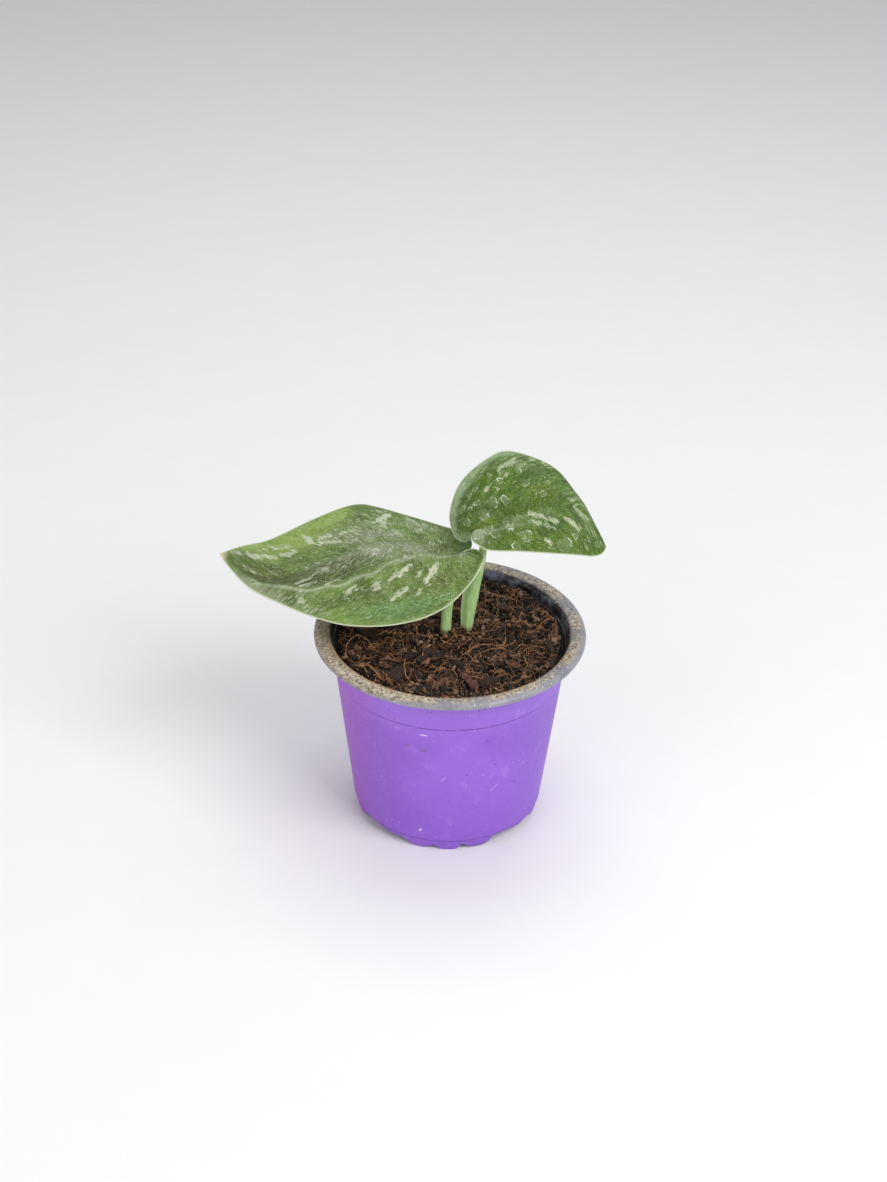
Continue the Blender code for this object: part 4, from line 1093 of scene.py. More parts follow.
def buildLongHairs(material):
    sides = 6
    points, faces, tints = [], [], []
    for number, hair in enumerate(longHairs):
        chance = np.random.default_rng(80 + number)
        course = [(x, y, float(soilLevel(x, y)) + lift) for x, y, lift in hair]
        line = curveThrough(course)
        rings = 12 * len(hair)
        shares = np.linspace(0.0, 1.0, rings)
        spots = line(shares)
        spots[1:-1] += 0.16 * np.sin(shares[1:-1, None] * (23.0, 31.0, 19.0) + chance.uniform(0.0, 6.0, 3))
        ahead = headings(line, shares)
        sideways = unit(np.cross(ahead, (0.0, 0.0, 1.0)))
        upward = np.cross(sideways, ahead)
        radius = (0.15 - 0.07 * shares) * (1.0 + 0.15 * np.sin(17.0 * shares + number))
        turn = 2.0 * np.pi * np.arange(sides) / sides
        tube = (spots[:, None] + sideways[:, None] * (radius[:, None] * np.cos(turn))[..., None]
                + upward[:, None] * (radius[:, None] * np.sin(turn))[..., None])
        first = len(points)
        points += [*tube.reshape(-1, 3), spots[0] - ahead[0] * 0.1, spots[-1] + ahead[-1] * 0.1]
        fresh = ringFaces(0, rings, sides) + endCaps(rings, sides)
        faces += [tuple(first + corner for corner in face) for face in fresh]
        tints += [0.66 + 0.32 * chance.random()] * (rings * sides + 2)
    mesh = meshFrom("longHairs", points, faces)
    paint(mesh, "tint", tints)
    mesh.materials.append(material)
    hairs = addPiece("longHairs", mesh)
    hairs.data.shade_smooth()
    dress(hairs)


def lengthsInMetres(sizes):
    plain = ("Density", "Stretch", "Flatten", "Tumble", "Facets", "Seed")
    return {label: value if label in plain else value * mm for label, value in sizes.items()}


def keepWithin(piece, reach):
    # drops the carrier's faces that lie further from the pot's axis than the reach
    mesh = piece.data
    count = len(mesh.vertices)
    places = np.empty(count * 3, np.float32)
    mesh.vertices.foreach_get("co", places)
    places = places.reshape(-1, 3) / mm - (axisX, 0.0, 0.0)
    inside = np.hypot(places[:, 0], places[:, 1]) <= reach
    faces = [tuple(face.vertices) for face in mesh.polygons]
    kept = [face for face in faces if all(inside[corner] for corner in face)]
    piece.data = meshFrom(mesh.name + "Inner", places, kept)


def buildLipGrit():
    # grains of sand and dried compost on the lip's top and inner slope
    around = 180
    inner, top = pot["lipInnerRadius"], pot["lipInnerHeight"]
    rings = [ringPoints(radius, height, around) for radius, height in (
        (inner + 2.6, top + 0.1), (inner + 1.2, top + 0.1), (inner, top - 0.1),
        (inner - 0.8, top - 0.4), (inner - 1.6, top - 1.2),
    )]
    points = np.concatenate(rings)
    carrier = addPiece("lipTop", meshFrom("lipTop", points, ringFaces(0, len(rings), around)))
    sizes = lengthsInMetres(lipGrit)
    grains = grow("lipGrit", carrier, crumbTree("lipGrit", sizes, earthMaterial("lipSand")), sizes)
    bpy.data.objects.remove(carrier, do_unlink=True)
    dress(grains)
    say(f"lipGrit: {len(grains.data.polygons)} faces")


def buildSoil():
    looseEarth = earthMaterial("looseEarth")
    relief = {"Roughness": soil["roughness"] * mm}
    rough = reliefTree(relief, earthMaterial("bedEarthAndGapShade"))
    flatBed = addPiece("flatBed", soilMesh("flatBed", False))
    bed = grow("soilBed", flatBed, rough, relief)
    bpy.data.objects.remove(flatBed, do_unlink=True)
    smoothShade(bed, 60.0)
    dress(bed, "soil")
    flatTop = addPiece("flatTop", soilMesh("flatTop", True))
    top = grow("roughTop", flatTop, rough, relief)
    bpy.data.objects.remove(flatTop, do_unlink=True)
    keepWithin(top, soil["scatterRadius"])
    for name, kind in crumbKinds.items():
        material = barkMaterial() if name == "barkChips" else looseEarth
        sizes = lengthsInMetres(kind)
        piece = grow(name, top, crumbTree(name, sizes, material), sizes)
        dress(piece)
        say(f"{name}: {len(piece.data.polygons)} faces")
    buildLipGrit()
    hair = fibreMaterial()
    for name, kind in fibreKinds.items():
        sizes = lengthsInMetres({**kind, "Reach": soil["scatterRadius"] + 0.6})
        piece = grow(name, top, fibreTree(name, sizes, hair), sizes)
        piece.data.shade_smooth()
        dress(piece)
        say(f"{name}: {len(piece.data.polygons)} faces")
    bpy.data.objects.remove(top, do_unlink=True)
    buildLoosePieces()
    buildLongHairs(hair)


buildSoil()


# Leaf blades

largeLeaf = {
    "name": "bladeLarge", "node": "leaf_large", "sweep": 1.55, "foldRounding": 0.3, "farRoll": 2.5,
    "midrib": (
        (2.5, 8.0, 122.3), (-5.0, 8.0, 123.9), (-13.7, 8.2, 126.0), (-22.6, 8.7, 127.6),
        (-32.0, 9.3, 127.1), (-42.6, 9.6, 124.0), (-53.2, 8.6, 120.1), (-61.0, 6.6, 116.7),
        (-68.6, 4.4, 114.6), (-77.0, 2.6, 114.0), (-86.0, 2.6, 116.1), (-101.0, 8.0, 122.7),
    ),
    "nearEdge": (
        (2.5, 8.0, 122.3), (5.4, 8.5, 125.6), (9.0, 8.0, 127.4), (11.9, 6.5, 127.4),
        (14.4, 3.5, 126.3), (10.3, -5.0, 120.5), (0.1, -14.0, 112.8), (-8.8, -18.3, 109.2),
        (-16.4, -21.0, 107.8), (-28.4, -22.6, 106.3), (-44.6, -22.4, 106.2), (-58.4, -19.5, 108.1),
        (-72.5, -14.0, 110.8), (-86.9, -6.0, 113.7), (-98.6, 6.0, 119.7), (-101.0, 8.0, 122.7),
    ),
    "farEdge": (
        (2.5, 8.0, 122.3), (5.5, 11.5, 123.8), (8.5, 13.5, 124.7), (9.1, 16.5, 126.3),
        (6.7, 20.5, 128.3), (-4.3, 27.2, 129.0), (-18.6, 33.8, 130.4), (-32.9, 38.0, 132.2),
        (-40.2, 38.5, 133.2), (-47.2, 37.2, 132.7), (-61.2, 30.5, 129.6), (-74.9, 21.8, 126.0),
        (-81.7, 17.7, 124.6), (-91.7, 12.6, 124.5), (-101.0, 8.0, 122.7),
    ),
    # share of the way from base to tip, the fold's height, and its place from midrib to edge
    "nearFold": (
        (0.0, 0.3, 0.50), (0.1, 2.2, 0.40), (0.2, 3.3, 0.25), (0.3, 3.5, 0.14), (0.42, 5.5, 0.27),
        (0.5, 7.2, 0.44), (0.6, 8.0, 0.60), (0.7, 7.0, 0.74), (0.85, 3.5, 0.78), (1.0, 0.0, 0.80),
    ),
    "farFold": (
        (0.0, -0.6, 0.50), (0.1, -2.0, 0.50), (0.3, -3.5, 0.50), (0.6, -3.5, 0.50),
        (0.85, -2.5, 0.50), (1.0, 0.0, 0.50),
    ),
    # silver blotches: from one place to another, each a share from base to tip and a share from
    # the midrib to the edge (near half negative), then half the width and the strength
    "blotches": (
        ((0.47, 0.63), (0.41, 0.84), 1.5, 1.0), ((0.44, 0.60), (0.43, 0.70), 1.2, 0.8),
        ((0.46, 0.85), (0.42, 0.92), 0.6, 0.6), ((0.34, 0.88), (0.30, 0.84), 0.8, 0.5),
        ((0.31, 0.63), (0.29, 0.72), 1.0, 0.45), ((0.42, 0.40), (0.39, 0.48), 1.3, 0.5),
        ((0.60, 0.54), (0.52, 0.50), 0.8, 0.75), ((0.72, 0.72), (0.70, 0.58), 1.2, 1.0),
        ((0.71, 0.58), (0.61, 0.37), 1.0, 1.0), ((0.67, 0.60), (0.63, 0.54), 0.9, 0.9),
        ((0.86, 0.79), (0.77, 0.68), 0.7, 0.9), ((0.80, 0.56), (0.76, 0.53), 1.3, 0.9),
        ((0.90, 0.62), (0.82, 0.56), 1.1, 1.0), ((0.96, 0.80), (0.90, 0.65), 0.7, 0.8),
        ((0.72, -0.60), (0.69, -0.40), 1.0, 1.0), ((0.70, -0.66), (0.66, -0.52), 0.8, 0.9),
        ((0.625, -0.58), (0.585, -0.50), 0.8, 0.9), ((0.85, -0.13), (0.84, -0.22), 0.6, 0.7),
        ((0.92, 0.12), (0.88, -0.06), 0.8, 0.7), ((0.66, -0.20), (0.64, -0.30), 1.2, 0.4),
        ((0.415, -0.43), (0.365, -0.31), 1.3, 1.0), ((0.445, -0.51), (0.42, -0.42), 0.9, 0.9),
        ((0.32, -0.54), (0.26, -0.34), 1.5, 1.0), ((0.345, -0.46), (0.33, -0.38), 0.8, 0.8),
        ((0.49, -0.61), (0.465, -0.51), 1.1, 0.9), ((0.52, -0.60), (0.51, -0.55), 0.7, 0.6),
        ((0.565, -0.66), (0.535, -0.59), 0.9, 0.95), ((0.57, -0.72), (0.55, -0.69), 0.8, 0.6),
        ((0.44, -0.71), (0.39, -0.59), 0.9, 0.9), ((0.705, -0.83), (0.685, -0.87), 1.2, 0.7),
        ((0.36, -0.67), (0.35, -0.63), 0.6, 0.6), ((0.51, -0.89), (0.50, -0.88), 0.6, 0.6),
    ),
    # dried water rings: share from base to tip, share from midrib to edge, radius
    "waterRings": (
        (0.49, -0.09, 1.7), (0.205, 0.62, 1.5), (0.19, 0.55, 0.9), (0.215, 0.66, 0.8), (0.33, -0.74, 1.0),
        (0.68, -0.30, 1.4), (0.66, -0.22, 0.9), (0.12, -0.40, 1.3), (0.24, 0.44, 1.2), (0.56, 0.30, 1.5),
        (0.06, -0.30, 1.4), (0.09, -0.22, 1.0), (0.70, -0.80, 1.5),
    ),
    # soft zones of colour, partly painted light and shade: share from base to tip, share from midrib to edge,
    # reach both ways, strength
    # lighter yellow-green: partly the leaf's own tone, partly painted light where the far half and the near
    # edge face the lamps
    "fresh": (
        (0.76, 0.75, 0.15, 0.32, 1.0), (0.62, 0.85, 0.10, 0.20, 0.9), (0.62, -0.92, 0.13, 0.10, 0.5),
        (0.48, -0.95, 0.16, 0.07, 0.4), (0.36, 0.55, 0.07, 0.16, 0.45),
        (0.88, 0.85, 0.08, 0.18, 0.8), (0.48, -0.52, 0.10, 0.16, 0.35),
    ),
    # darker olive: partly the leaf's own tone, partly painted shade in the valley behind the fold and in the
    # hollow at the base
    "olive": (
        (0.82, -0.34, 0.10, 0.22, 1.0), (0.70, -0.50, 0.09, 0.15, 1.0), (0.58, -0.36, 0.05, 0.12, 0.5),
        (0.28, -0.60, 0.10, 0.22, 0.62), (0.18, 0.34, 0.10, 0.26, 0.9), (0.90, 0.20, 0.05, 0.30, 0.7),
        (0.33, 0.45, 0.09, 0.20, 0.4), (0.75, -0.10, 0.12, 0.20, 0.5), (0.24, 0.75, 0.08, 0.15, 0.4),
        (0.86, 0.16, 0.08, 0.26, 1.0), (0.79, -0.12, 0.09, 0.24, 1.0), (0.90, -0.34, 0.06, 0.26, 0.9),
        (0.36, -0.45, 0.14, 0.26, 0.38), (0.05, 0.30, 0.04, 0.30, 0.9), (0.44, -0.66, 0.10, 0.14, 0.30),
    ),
    # bluish green: the leaf's own tone in places, and painted shade in the hollow by the base
    "bluish": (
        (0.42, -0.84, 0.16, 0.16, 0.8), (0.30, -0.85, 0.12, 0.12, 0.6), (0.52, 0.72, 0.10, 0.22, 0.35),
        (0.08, 0.55, 0.06, 0.35, 1.0), (0.66, -0.76, 0.08, 0.10, 0.5), (0.64, 0.25, 0.10, 0.22, 0.4),
        (0.08, -0.35, 0.07, 0.30, 0.6),
    ),
    # a painted grey sheen where the flatter parts of the blade would mirror the sky
    "paintedGreySheen": (
        (0.34, 0.04, 0.12, 0.26, 0.9), (0.48, -0.04, 0.12, 0.22, 1.0), (0.60, -0.14, 0.10, 0.18, 0.9),
        (0.42, 0.42, 0.10, 0.30, 0.75), (0.30, 0.78, 0.10, 0.20, 0.7), (0.22, -0.12, 0.12, 0.14, 0.6),
        (0.38, -0.20, 0.08, 0.10, 0.7), (0.70, 0.02, 0.08, 0.18, 0.6), (0.12, 0.80, 0.08, 0.16, 0.5),
        (0.84, -0.92, 0.14, 0.16, 0.9), (0.52, 0.35, 0.12, 0.28, 0.8), (0.64, 0.50, 0.10, 0.20, 0.7),
        (0.24, 0.20, 0.08, 0.20, 0.6), (0.68, -0.92, 0.08, 0.10, 0.6), (0.64, -0.24, 0.07, 0.12, 1.0),
        (0.52, 0.66, 0.10, 0.20, 0.5), (0.13, -0.45, 0.06, 0.20, 0.5),
    ),
    # share of the way from base to tip, and how strong the painted highlight on the fold's crest is there
    "crestHighlight": (
        (0.0, 0.0), (0.12, 0.0), (0.20, 0.45), (0.34, 0.20), (0.46, 0.70), (0.74, 0.80), (0.84, 0.30),
        (0.95, 0.0), (1.0, 0.0),
    ),
    # share from base to tip where the painted shade in the valley inside the fold begins and ends
    "valleyFrom": 0.44, "valleyTo": 0.97,
}
smallLeaf = {
    "name": "bladeSmall", "node": "leaf_small", "sweep": 1.45, "foldRounding": 0.5, "farRoll": 0.0,
    "midrib": (
        (10.9, 10.0, 135.7), (22.8, 11.2, 141.7), (36.9, 11.6, 147.0), (44.1, 11.0, 148.5),
        (50.5, 10.0, 148.7), (55.7, 8.5, 146.4), (60.2, 6.8, 141.6), (66.8, 4.0, 131.6),
    ),
    "nearEdge": (
        (10.9, 10.0, 135.7), (9.1, 8.5, 134.8), (8.3, 7.0, 133.7), (9.2, 5.5, 132.3),
        (12.2, 3.5, 131.3), (15.5, 1.5, 130.6), (29.3, -2.5, 132.5), (46.4, -3.5, 132.2),
        (55.1, -2.0, 130.8), (60.9, 0.0, 129.2), (64.9, 2.2, 129.4), (66.8, 4.0, 131.6),
    ),
    "farEdge": (
        (10.9, 10.0, 135.7), (9.9, 11.5, 131.8), (8.0, 12.5, 128.9), (5.0, 13.5, 127.5),
        (1.7, 15.3, 128.6), (-0.4, 17.8, 132.4), (-1.1, 20.5, 137.8), (3.4, 27.3, 149.5),
        (16.2, 33.0, 159.5), (23.1, 34.5, 161.6), (38.8, 31.8, 158.4), (46.5, 28.0, 154.9),
        (54.0, 19.5, 147.4), (58.8, 14.0, 142.3), (66.8, 4.0, 131.6),
    ),
    "nearFold": (
        (0.0, 0.3, 0.40), (0.12, 1.5, 0.40), (0.35, 3.5, 0.40), (0.6, 3.5, 0.40),
        (0.85, 1.5, 0.40), (1.0, 0.0, 0.40),
    ),
    "farFold": ((0.0, 0.3, 0.50), (0.12, 1.0, 0.50), (0.4, 2.2, 0.50), (0.7, 2.0, 0.50), (1.0, 0.0, 0.50)),
    "blotches": (
        ((0.455, 0.73), (0.52, 0.83), 1.1, 1.0), ((0.45, 0.70), (0.46, 0.76), 1.0, 0.8),
        ((0.40, 0.93), (0.36, 0.92), 1.0, 0.5), ((0.37, 0.58), (0.365, 0.54), 1.0, 0.95),
        ((0.40, 0.49), (0.40, 0.45), 0.9, 0.9), ((0.41, 0.72), (0.41, 0.69), 0.7, 0.7),
        ((0.47, 0.60), (0.465, 0.56), 0.6, 0.7), ((0.58, 0.93), (0.60, 0.90), 0.9, 0.7),
        ((0.62, 0.96), (0.65, 0.90), 0.7, 0.7), ((0.63, 0.49), (0.64, 0.47), 0.5, 0.6),
        ((0.50, -0.14), (0.655, -0.38), 1.25, 1.0), ((0.51, -0.33), (0.645, -0.50), 0.95, 0.85),
        ((0.71, -0.29), (0.78, -0.42), 1.1, 1.0), ((0.75, -0.01), (0.825, -0.06), 0.9, 0.75),
        ((0.73, 0.14), (0.76, 0.12), 0.6, 0.6), ((0.585, -0.71), (0.61, -0.82), 0.8, 0.85),
        ((0.88, -0.20), (0.90, -0.26), 0.5, 0.6), ((0.82, -0.74), (0.84, -0.78), 0.5, 0.6),
        ((0.37, -0.33), (0.40, -0.38), 0.8, 0.5),
    ),
    "waterRings": (
        (0.338, 0.32, 2.3), (0.295, 0.72, 1.6), (0.245, 0.25, 2.0), (0.17, 0.51, 1.6), (0.695, -0.81, 3.0),
        (0.47, -0.65, 2.4), (0.45, -0.62, 1.3), (0.372, -0.39, 1.6), (0.287, 0.49, 1.2), (0.53, 0.40, 1.6),
        (0.33, 0.70, 1.2), (0.60, 0.20, 1.4), (0.40, 0.25, 1.5), (0.27, -0.50, 1.8), (0.76, -0.60, 1.3),
        (0.40, -0.84, 1.8), (0.60, -0.72, 1.0), (0.84, -0.55, 1.4), (0.92, -0.50, 1.5), (0.20, -0.28, 2.2),
        (0.12, -0.55, 2.0), (0.43, 0.55, 1.4), (0.52, 0.62, 1.1), (0.24, 0.55, 1.0),
    ),
    "fresh": (
        (0.22, -0.05, 0.06, 0.30, 0.8), (0.42, -0.70, 0.14, 0.22, 0.5), (0.66, -0.66, 0.12, 0.20, 0.5),
        (0.50, 0.80, 0.10, 0.14, 0.5),
    ),
    "olive": (
        (0.12, 0.10, 0.07, 0.30, 0.9), (0.60, 0.25, 0.10, 0.20, 0.5), (0.78, -0.55, 0.10, 0.20, 0.3),
        (0.41, -0.74, 0.08, 0.14, 0.45),
    ),
    # pale bluish grey: a painted sheen along the far rim and on the near lobe
    "bluish": (
        (0.20, 0.95, 0.22, 0.20, 1.0), (0.42, 1.00, 0.16, 0.12, 1.0), (0.06, 0.70, 0.07, 0.40, 0.9),
        (0.10, -0.55, 0.10, 0.45, 0.9), (0.30, -0.30, 0.12, 0.16, 0.4), (0.72, 0.15, 0.14, 0.20, 0.3),
    ),
    # a painted grey sheen where the flatter parts of the blade would mirror the sky
    "paintedGreySheen": (
        (0.24, 0.98, 0.16, 0.08, 0.7), (0.40, -0.20, 0.16, 0.16, 0.7), (0.60, -0.22, 0.14, 0.16, 0.5),
        (0.80, 0.35, 0.12, 0.40, 0.7), (0.10, -0.60, 0.10, 0.40, 1.0), (0.60, 0.92, 0.14, 0.10, 0.7),
        (0.84, -0.25, 0.08, 0.20, 0.5), (0.40, 0.86, 0.10, 0.12, 0.5), (0.22, 0.74, 0.10, 0.16, 0.5),
        (0.52, 0.78, 0.12, 0.16, 0.65), (0.20, -0.72, 0.08, 0.20, 0.5),
    ),
    "crestHighlight": ((0.0, 0.0), (0.10, 0.0), (0.20, 0.35), (0.45, 0.30), (0.58, 0.0), (1.0, 0.0)),
    "valleyFrom": 2.0, "valleyTo": 3.0,
}
blade = {
    "rows": 240, "halfColumns": 58, "thickness": 0.66, "marginThickness": 0.32,
    "ribHeight": 1.3, "ribWidth": 1.5, "grooveDepth": 0.30, "grooveWidth": 0.8,
    "veinSpacing": 5.2, "veinDepth": 0.10, "wave": 0.16,
}


def facingUp(normals):
    return normals if normals[..., 2].sum() > 0.0 else -normals


def softSmaller(first, second, rounding):
    blend = np.clip(0.5 + 0.5 * (second - first) / rounding, 0.0, 1.0)
    return second * (1.0 - blend) + first * blend - rounding * blend * (1.0 - blend)


def foldShape(across, place, rounding):
    # a rounded roof over a half blade, 0 at midrib and edge, with its ridge at the place
    roof = softSmaller(across / place, (1.0 - across) / (1.0 - place), rounding)
    atMidrib = softSmaller(0.0 * place, 1.0 / (1.0 - place), rounding)
    atEdge = softSmaller(1.0 / place, 0.0 * place, rounding)
    return roof - atMidrib * (1.0 - across) - atEdge * across


def halfSheet(leaf, side):
    # rows from the midrib to one edge, as the side veins run: +1 is the far half, -1 the near one
    midrib = curveThrough(leaf["midrib"])
    edge = curveThrough(leaf["farEdge"] if side > 0 else leaf["nearEdge"])
    fold = leaf["farFold"] if side > 0 else leaf["nearFold"]
    rows = np.arange(blade["rows"] + 1) / blade["rows"]
    along = rows ** leaf["sweep"]
    inner = midrib(along)
    chord = edge(rows) - inner
    upward = facingUp(unit(np.cross(chord, headings(midrib, along))))
    across = np.linspace(0.0, 1.0, blade["halfColumns"] + 1)[None, :]
    height = eased(rows, fold, 1)[:, None]
    place = eased(rows, fold, 2)[:, None]
    if side < 0:
        lift = height * foldShape(across, place, leaf["foldRounding"])
    else:
        lift = height * np.sin(math.pi * across)
        edgeRoll = ramp(across, 0.75, 0.25) ** 2
        lift = lift - leaf["farRoll"] * edgeRoll * np.sqrt(np.sin(math.pi * rows))[:, None]
    return inner[:, None] + chord[:, None] * across[..., None] + upward[:, None] * lift[..., None]


def leafSheet(leaf):
    # the whole blade's middle surface, with each point's share along and across and its measures
    near, far = halfSheet(leaf, -1), halfSheet(leaf, 1)
    sheet = np.concatenate([near[:, :0:-1], far], axis=1)
    shares = np.linspace(0.0, 1.0, blade["halfColumns"] + 1)
    across = np.concatenate([-shares[:0:-1], shares])[None, :] * np.ones((sheet.shape[0], 1))
    along = (np.arange(blade["rows"] + 1) / blade["rows"])[:, None] * np.ones_like(across)
    middle = blade["halfColumns"]
    steps = np.linalg.norm(np.diff(sheet, axis=1), axis=2)
    fromMidrib = np.zeros_like(across)
    fromMidrib[:, middle + 1:] = np.cumsum(steps[:, middle:], axis=1)
    fromMidrib[:, :middle] = -np.cumsum(steps[:, :middle][:, ::-1], axis=1)[:, ::-1]
    halfWidth = np.where(across > 0, fromMidrib[:, -1:], -fromMidrib[:, :1])
    return sheet, along, across, fromMidrib, halfWidth


def blotchField(leaf, sheet, placeOf):
    # how far inside the nearest blotch each point lies, in mm and weighted by its strength
    field = np.full(sheet.shape[:2], -3.0)
    strength = np.zeros(sheet.shape[:2])
    for start, end, halfWidth, weight in leaf["blotches"]:
        a, b = placeOf(start), placeOf(end)
        run = b - a
        part = np.clip(((sheet - a) @ run) / max(run @ run, 1e-6), 0.0, 1.0)
        away = np.linalg.norm(sheet - (a + part[..., None] * run), axis=2)
        inside = halfWidth * (1.0 - 0.35 * np.abs(2.0 * part - 1.0)) - away
        strength = np.where(inside > field, weight, strength)
        field = np.maximum(field, inside)
    return field, strength


def ringField(leaf, sheet, placeOf):
    # signed distance from the nearest dried water ring, in mm
    field = np.full(sheet.shape[:2], 9.0)
    for along, across, radius in leaf["waterRings"]:
        off = np.linalg.norm(sheet - placeOf((along, across)), axis=2) - radius
        field = np.where(np.abs(off) < np.abs(field), off, field)
    return field


def zoneField(spots, along, across):
    field = np.zeros_like(along)
    for spotAlong, spotAcross, reachAlong, reachAcross, strength in spots:
        off = ((along - spotAlong) / reachAlong) ** 2 + ((across - spotAcross) / reachAcross) ** 2
        field = np.maximum(field, strength * np.exp(-off))
    return field


def patchy(tree, mask, noise, spread, low, high):
    # a soft mask whose edge is broken up by noise
    return fade(tree, plus(tree, mask, swing(tree, noise, spread)), low, high)


def bladeMaterial(name, tones):
    material, tree, shader = newMaterial(name, 0.5, tones["gloss"], tones["velvet"])
    place, vein, _, along = readVector(tree, "leafPlace")
    _, blotch, ring, margin = readVector(tree, "leafMarks")
    _, weight, crestHighlight, valleyShade = readVector(tree, "leafTone")
    _, fresh, olive, bluish = readVector(tree, "leafZones")
    paintedGreySheen = readNumber(tree, "paintedGreySheen")
    # the pattern is drawn out along the side veins
    drawn = addNode(tree, "ShaderNodeMapping", {"Vector": place, "Scale": (1.0, 0.45, 0.0)}).outputs[0]
    even = vectorCalc(tree, "MULTIPLY", place, (1.0, 1.0, 0.0))
    broad = noiseAt(tree, even, 0.10, 4.0, 0.6)
    streaky = noiseAt(tree, drawn, 0.40, 5.0, 0.65)
    ragged = noiseAt(tree, drawn, 0.95, 6.0, 0.78)
    mottle = noiseAt(tree, even, 0.60, 6.0, 0.82, 0.4)
    fine = noiseAt(tree, even, 1.3, 5.0, 0.8)
    grain = noiseAt(tree, even, 5.5, 3.0, 0.7)
    # greens, whose zones are partly painted light and shade, then fine mottling in lighter and darker ones
    colour = mixed(tree, fade(tree, broad, 0.34, 0.64), tones["deep"], tones["middle"])
    colour = coated(
        tree, colour,
        (patchy(tree, fresh, broad, 0.9, 0.15, 0.95), tones["fresh"]),
        (patchy(tree, bluish, broad, 0.8, 0.2, 1.0), tones["bluish"]),
        (patchy(tree, olive, streaky, 0.8, 0.15, 0.85), tones["olive"]),
        # the valley behind the fold gets painted shade
        (times(tree, valleyShade, fade(tree, streaky, 0.3, 0.6, 1.0, 0.72)), tones["valleyShade"]),
        (fade(tree, streaky, 0.50, 0.66, 0.0, 0.38), tones["light"]),
        (fade(tree, mottle, 0.52, 0.62, 0.0, 0.65), tones["light"]),
        (fade(tree, mottle, 0.47, 0.38, 0.0, 0.70), tones["deep"]),
        (fade(tree, fine, 0.48, 0.36, 0.0, 0.50), tones["deep"]),
        (fade(tree, fine, 0.55, 0.66, 0.0, 0.40), tones["scratch"]),
    )
    # a painted grey sheen with fine pale scratches, faint side veins and silver flecks
    veil = patchy(tree, paintedGreySheen, streaky, 1.3, 0.25, 1.05)
    veil = times(tree, veil, fade(tree, valleyShade, 0.0, 1.0, 0.76, 0.16))
    scratch = times(tree, fade(tree, ragged, 0.53, 0.60), fade(tree, paintedGreySheen, 0.10, 0.75, 0.16, 0.95))
    veins = calc(tree, "COSINE", times(tree, vein, 2.0 * math.pi / blade["veinSpacing"]))
    flecks = noiseAt(tree, drawn, 0.85, 3.0, 0.7, 0.6)
    # silver blotches with ragged edges and small holes
    edge = plus(tree, swing(tree, ragged, 8.5), swing(tree, streaky, 4.5))
    inBlotch = fade(tree, plus(tree, blotch, edge), -0.15, 0.10)
    inBlotch = times(tree, inBlotch, times(tree, weight, fade(tree, mottle, 0.38, 0.47, 0.25, 0.95)))
    silver = mixed(tree, fade(tree, broad, 0.40, 0.60), tones["silver"], tones["blotch"])
    silver = mixed(tree, fade(tree, grain, 0.3, 0.7), silver, tones["scratch"])
    # dried water: broken rings, specks and fine dust
    bent = plus(tree, ring, swing(tree, noiseAt(tree, even, 0.45, 2.0), 3.2))
    ringLine = fade(tree, calc(tree, "ABSOLUTE", bent), 0.30, 0.08)
    ringLine = times(tree, ringLine, fade(tree, streaky, 0.46, 0.62, 0.0, 0.80))
    often = fade(tree, broad, 0.40, 0.62, 0.35, 1.0)
    dots = times(tree, specks(tree, even, 0.70, 0.19, 0.34), often)
    dust = times(tree, specks(tree, even, 1.9, 0.36, 0.24), times(tree, often, 0.70))
    spots = calc(tree, "MAXIMUM", dots, dust)
    marks = calc(tree, "MAXIMUM", ringLine, spots)
    # pale margin and dry tip
    rim = times(tree, fade(tree, margin, 0.80, 0.25), fade(tree, fine, 0.3, 0.5, 0.6, 1.0))
    nearRim = plus(tree, margin, swing(tree, streaky, 2.0))
    nearTip = plus(tree, along, swing(tree, mottle, 0.05))
    colour = coated(
        tree, colour,
        (veil, tones["sheen"]), (scratch, tones["scratch"]),
        (fade(tree, veins, 0.88, 1.0, 0.0, 0.14), tones["light"]),
        (fade(tree, flecks, 0.645, 0.685, 0.0, 0.55), tones["silver"]),
        (inBlotch, silver),
        # the fold's crest gets a painted highlight
        (times(tree, crestHighlight, fade(tree, ragged, 0.38, 0.56, 0.35, 1.0)), tones["crestHighlight"]),
        (times(tree, fade(tree, bent, 0.1, -0.6), 0.16), tones["scratch"]),
        (ringLine, tones["mineral"]), (times(tree, spots, 0.9), tones["mineral"]),
        (fade(tree, nearRim, 1.9, 0.3, 0.0, 0.4), tones["light"]), (rim, tones["margin"]),
        (fade(tree, nearTip, 0.968, 0.996, 0.0, tones["tipTan"]), tones["dryTip"]),
    )
    dull = plus(tree, fade(tree, fine, 0.3, 0.7, 0.40, 0.54), times(tree, marks, 0.3))
    relief = plus(tree, fine, times(tree, marks, 0.8))
    finishLook(tree, shader, colour, dull, plus(tree, relief, times(tree, inBlotch, 0.4)), 0.00016, 0.7)
    return material


undersideTones = {
    "deep": (0.17, 0.27, 0.10), "middle": (0.23, 0.34, 0.14), "mottle": (0.30, 0.39, 0.20),
    "vein": (0.33, 0.43, 0.21), "rib": (0.34, 0.47, 0.20),
}


